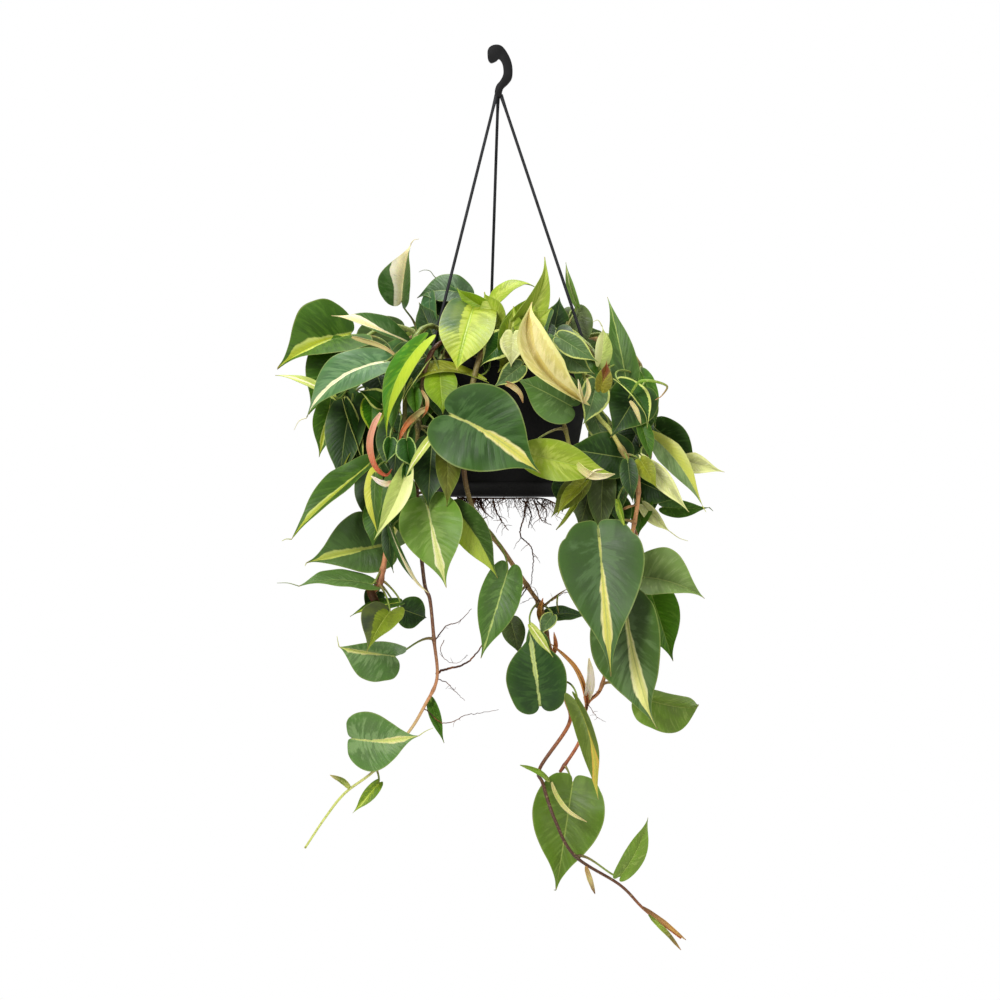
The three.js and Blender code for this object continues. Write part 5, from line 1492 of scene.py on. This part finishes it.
# Dry and green sheaths at the nodes: points, width in picture units, colours, turn and wrap in degrees
SHEATHS = {
    "salmon": ([(381, 413, -118), (375, 425, -119), (371, 440, -120), (372, 455, -120), (377, 468, -121),
                (386, 475, -121), (392, 469, -120)], 10,
               [tint(228, 184, 158), tint(224, 164, 134), tint(220, 156, 124), tint(206, 124, 88),
                tint(186, 84, 48),
                tint(170, 76, 44)], 20, 170),
    "white_end": ([(394, 483, -119), (386, 486, -121), (378, 483, -122), (371, 476, -121)], 11,
                  [PINK_TAN, IVORY, tint(240, 228, 218), IVORY], 40, 160),
    "ochre_left": ([(422, 390, -108), (428, 400, -109), (427, 410, -109), (422, 418, -109)], 6,
                   [TAN, STRAW, ORANGE, TAN], 30, 180),
    "pale_left": ([(400, 386, -92), (397, 394, -93), (400, 403, -93)], 7, [STRAW, CREAM, STRAW], 0, 160),
    "pale_bits": ([(630, 401, -114), (636, 410, -115), (641, 424, -114)], 6, [STRAW, CREAM, STRAW], 0, 150),
    "twig": ([(620, 511, -100), (628, 507, -101), (637, 505, -97)], 4, [BROWN, TAN, BROWN], 0, 200),
    "over_front": ([(505, 383, -104), (514, 387, -110), (521, 394, -114), (523, 403, -114)], 9,
                   [TAN, STRAW, TAN], 0, 190),
    "tan_low": ([(586, 710, -78), (585, 697, -81), (581, 681, -84), (574, 667, -85), (564, 656, -83),
                 (551, 644, -78)], 11,
                [BROWN, ORANGE, tint(206, 152, 84), tint(200, 142, 74), tint(206, 152, 84), ORANGE], 30,
                260),
    "pale_low": ([(586, 700, -78), (590, 688, -86), (591, 674, -89), (589, 658, -90)], 13,
                 [STRAW, tint(214, 206, 186), tint(222, 214, 196), STRAW], 0, 170),
    "node_gold": ([(542, 624, -72), (539, 611, -76), (543, 598, -80)], 9,
                  [TAN, tint(170, 120, 46), tint(190, 140, 60), ORANGE], 0, 200),
    "node_branch": ([(543, 606, -78), (551, 600, -82), (559, 594, -86), (567, 589, -88)], 4,
                    [BROWN, OLIVE_STEM, BROWN, OLIVE_STEM], 0, 240),
    "node_petiole": ([(558, 594, -86), (557, 604, -87), (559, 614, -87)], 3, [STEM_GREEN, OLIVE_STEM], 0,
                     240),
    "node_pink": ([(552, 656, -72), (556, 645, -78), (554, 632, -82)], 8, [PINK_TAN, ORANGE, PINK_TAN], 0,
                  200),
    "curved_pale": ([(552, 782, -102), (559, 797, -108), (570, 811, -112), (587, 822, -114)], 8,
                    [STRAW, PALE_LIME, CREAM, STRAW], 40, 190),
    "green_low": ([(550, 782, -96), (542, 774, -94), (532, 769, -92), (520, 765, -90)], 7,
                  [STEM_GREEN, BRIGHT, STEM_GREEN], 0, 150),
    "brown_right": ([(586, 866, -112), (590, 878, -112), (595, 894, -112)], 8, [TAN, STRAW, BROWN], 10,
                    180),
    "tip_green": ([(649, 914, -90), (659, 924, -92), (669, 934, -92), (681, 950, -90)], 8,
                  [STEM_GREEN, tint(150, 178, 62), OLIVE_STEM, TAN], 20, 190),
    "tip_tan": ([(643, 907, -92), (653, 914, -94), (664, 922, -93), (675, 931, -90), (686, 940, -87)], 7,
                [BROWN, TAN, tint(206, 158, 84), TAN], 0, 190),
    "lime_left": ([(350, 788, -89), (342, 780, -92), (330, 775, -94)], 9, [PALE_LIME, STEM_GREEN, STRAW],
                  0, 180),
    "brown_mid": ([(427, 408, -106), (417, 416, -110), (406, 427, -112), (399, 441, -112)], 10,
                  [STRAW, OLIVE_STEM, ORANGE, tint(176, 88, 44)], 20, 180),
    "under_pot": ([(583, 484, -88), (578, 500, -92), (565, 520, -94), (556, 530, -94)], 8,
                  [OLIVE_STEM, LIME, OLIVE], 20, 170),
    "cream_node": ([(583, 404, -122), (579, 392, -124), (578, 379, -122)], 8, [STRAW, CREAM, IVORY], 60,
                   160),
    "cream_fork": ([(584, 403, -122), (588, 391, -123), (587, 378, -120)], 7, [STRAW, CREAM, STRAW], 20,
                   160),
    "right_node": ([(628, 398, -104), (633, 388, -108), (640, 380, -110), (654, 380, -110),
                    (668, 386, -108),
                    (662, 396, -108), (655, 400, -108)], 8, [STEM_GREEN, BRIGHT, STEM_GREEN, PINK_TAN],
                    90, 170),
    "tan_shoulder": ([(352, 337, -48), (364, 341, -56), (378, 345, -64), (390, 351, -72),
                      (401, 360, -80)], 8,
                     [STRAW, tint(190, 182, 116), STRAW, TAN], 0, 200),
    "vine_scar": ([(378, 606, -92), (371, 592, -94), (366, 580, -94)], 12, [DARK_BROWN, BROWN, ORANGE], 0,
                  170),
    "lime_tip": ([(578, 463, -128), (586, 471, -131), (597, 475, -131), (615, 474, -128)], 12,
                 [PALE_LIME, CREAM, IVORY, CREAM], 30, 170),
    "lime_frill": ([(586, 478, -130), (594, 470, -132), (604, 469, -131)], 8, [STRAW, IVORY, CREAM], 70,
                   170),
}


def build_sheath(name, points, width, colours, turn, wrap):
    shell = Shell()
    add_sheath(shell, points, width, colours, turn, wrap)
    thing = shell.build("sheath_" + name, sheath_material)
    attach(thing, "root")
    return thing


# The thread that some drip tips end in, as places in the picture after the tip
TAILS = {
    "upright_left": [(414, 240), (419, 239)],
    "blue_left": [(299, 421), (294, 430)],
    "crown_back": [(434, 276), (430, 271), (424, 270), (419, 272)],
    "dark_point": [(286, 539), (282, 541)],
    "flat_left": [(288, 583), (277, 583)],
    "dark_wide": [(305, 566)],
    "bowl_left": [(338, 642), (337, 636)],
    "cream_tip_right": [(679, 538), (688, 541)],
    "green_tip_right": [(713, 511)],
    "lime_patch": [(598, 320), (593, 322)],
    "heart_left": [(426, 731), (433, 728)],
    "lime_right": [(706, 512)],
    "low_heart": [(554, 890)],
}
for blade_name, thread in TAILS.items():
    BLADES[blade_name]["tail"] = thread

build_pot()
build_hook()
for strand_side, strand_angle in STRAND_ANGLES.items():
    build_strand(strand_side, strand_angle)
build_soil()
build_drain_roots()
build_aerial_roots()
for blade_seed, (blade_name, blade_part) in enumerate(BLADES.items()):
    build_blade(blade_name, blade_part, blade_seed + 100)
for vine_name in VINES:
    build_vine(vine_name, [part for part in BLADES.values() if part["vine"] == vine_name])
for sheath_name, sheath_parts in SHEATHS.items():
    build_sheath(sheath_name, *sheath_parts)


# The floor, the light and the camera

def build_stage():
    recipe = Recipe("pale_floor", specular=0.2)
    mottle = recipe.noise(recipe.place(), 3.0, 3.0)
    colour = recipe.mix(mottle, tint(238, 238, 236), tint(244, 244, 242))
    material = recipe.finish(colour, recipe.spread(mottle, 0.3, 0.7, 0.75, 0.85))
    bpy.ops.mesh.primitive_circle_add(vertices=96, radius=0.62, fill_type="NGON", location=(0, 0, -0.9))
    floor = bpy.context.object
    floor.name = "studio_floor"
    floor.data.materials.append(material)


def add_light(name, place_at, aim, size, power):
    light = bpy.data.lights.new(name, "AREA")
    light.shape, light.size, light.energy = "DISK", size, power
    thing = bpy.data.objects.new(name, light)
    thing.location = place_at
    direction = np.array(aim) - np.array(place_at)
    thing.rotation_euler = Vector(direction).to_track_quat("-Z", "Y").to_euler()
    bpy.context.scene.collection.objects.link(thing)


def build_world():
    world = bpy.data.worlds.new("studio")
    bpy.context.scene.world = world
    world.use_nodes = True
    tree = world.node_tree
    ambient = tree.nodes["Background"]
    ambient.inputs["Color"].default_value = (1.0, 1.0, 1.0, 1.0)
    ambient.inputs["Strength"].default_value = AMBIENT
    backdrop = tree.nodes.new("ShaderNodeBackground")
    backdrop.inputs["Color"].default_value = (1.0, 1.0, 1.0, 1.0)
    backdrop.inputs["Strength"].default_value = 1.0
    seen = tree.nodes.new("ShaderNodeLightPath")
    mix = tree.nodes.new("ShaderNodeMixShader")
    tree.links.new(seen.outputs["Is Camera Ray"], mix.inputs[0])
    tree.links.new(ambient.outputs[0], mix.inputs[1])
    tree.links.new(backdrop.outputs[0], mix.inputs[2])
    tree.links.new(mix.outputs[0], tree.nodes["World Output"].inputs[0])


AMBIENT = 0.5
build_stage()
build_world()
add_light("key", (-1.3, -2.2, 1.0), (0, 0, -0.4), 1.0, 62)
add_light("fill", (1.6, -1.8, 0.1), (0, 0, -0.4), 1.2, 14)
add_light("top", (0.0, 0.2, 1.2), (0, 0, -0.4), 0.9, 26)

camera = bpy.data.cameras.new("camera")
camera.lens, camera.sensor_width = LENS_MM, SENSOR_MM
camera_object = bpy.data.objects.new("camera", camera)
camera_object.location = tuple(EYE)
camera_object.rotation_euler = (math.pi / 2, 0, 0)
bpy.context.scene.collection.objects.link(camera_object)
bpy.context.scene.camera = camera_object
bpy.context.scene.view_settings.view_transform = "Standard"
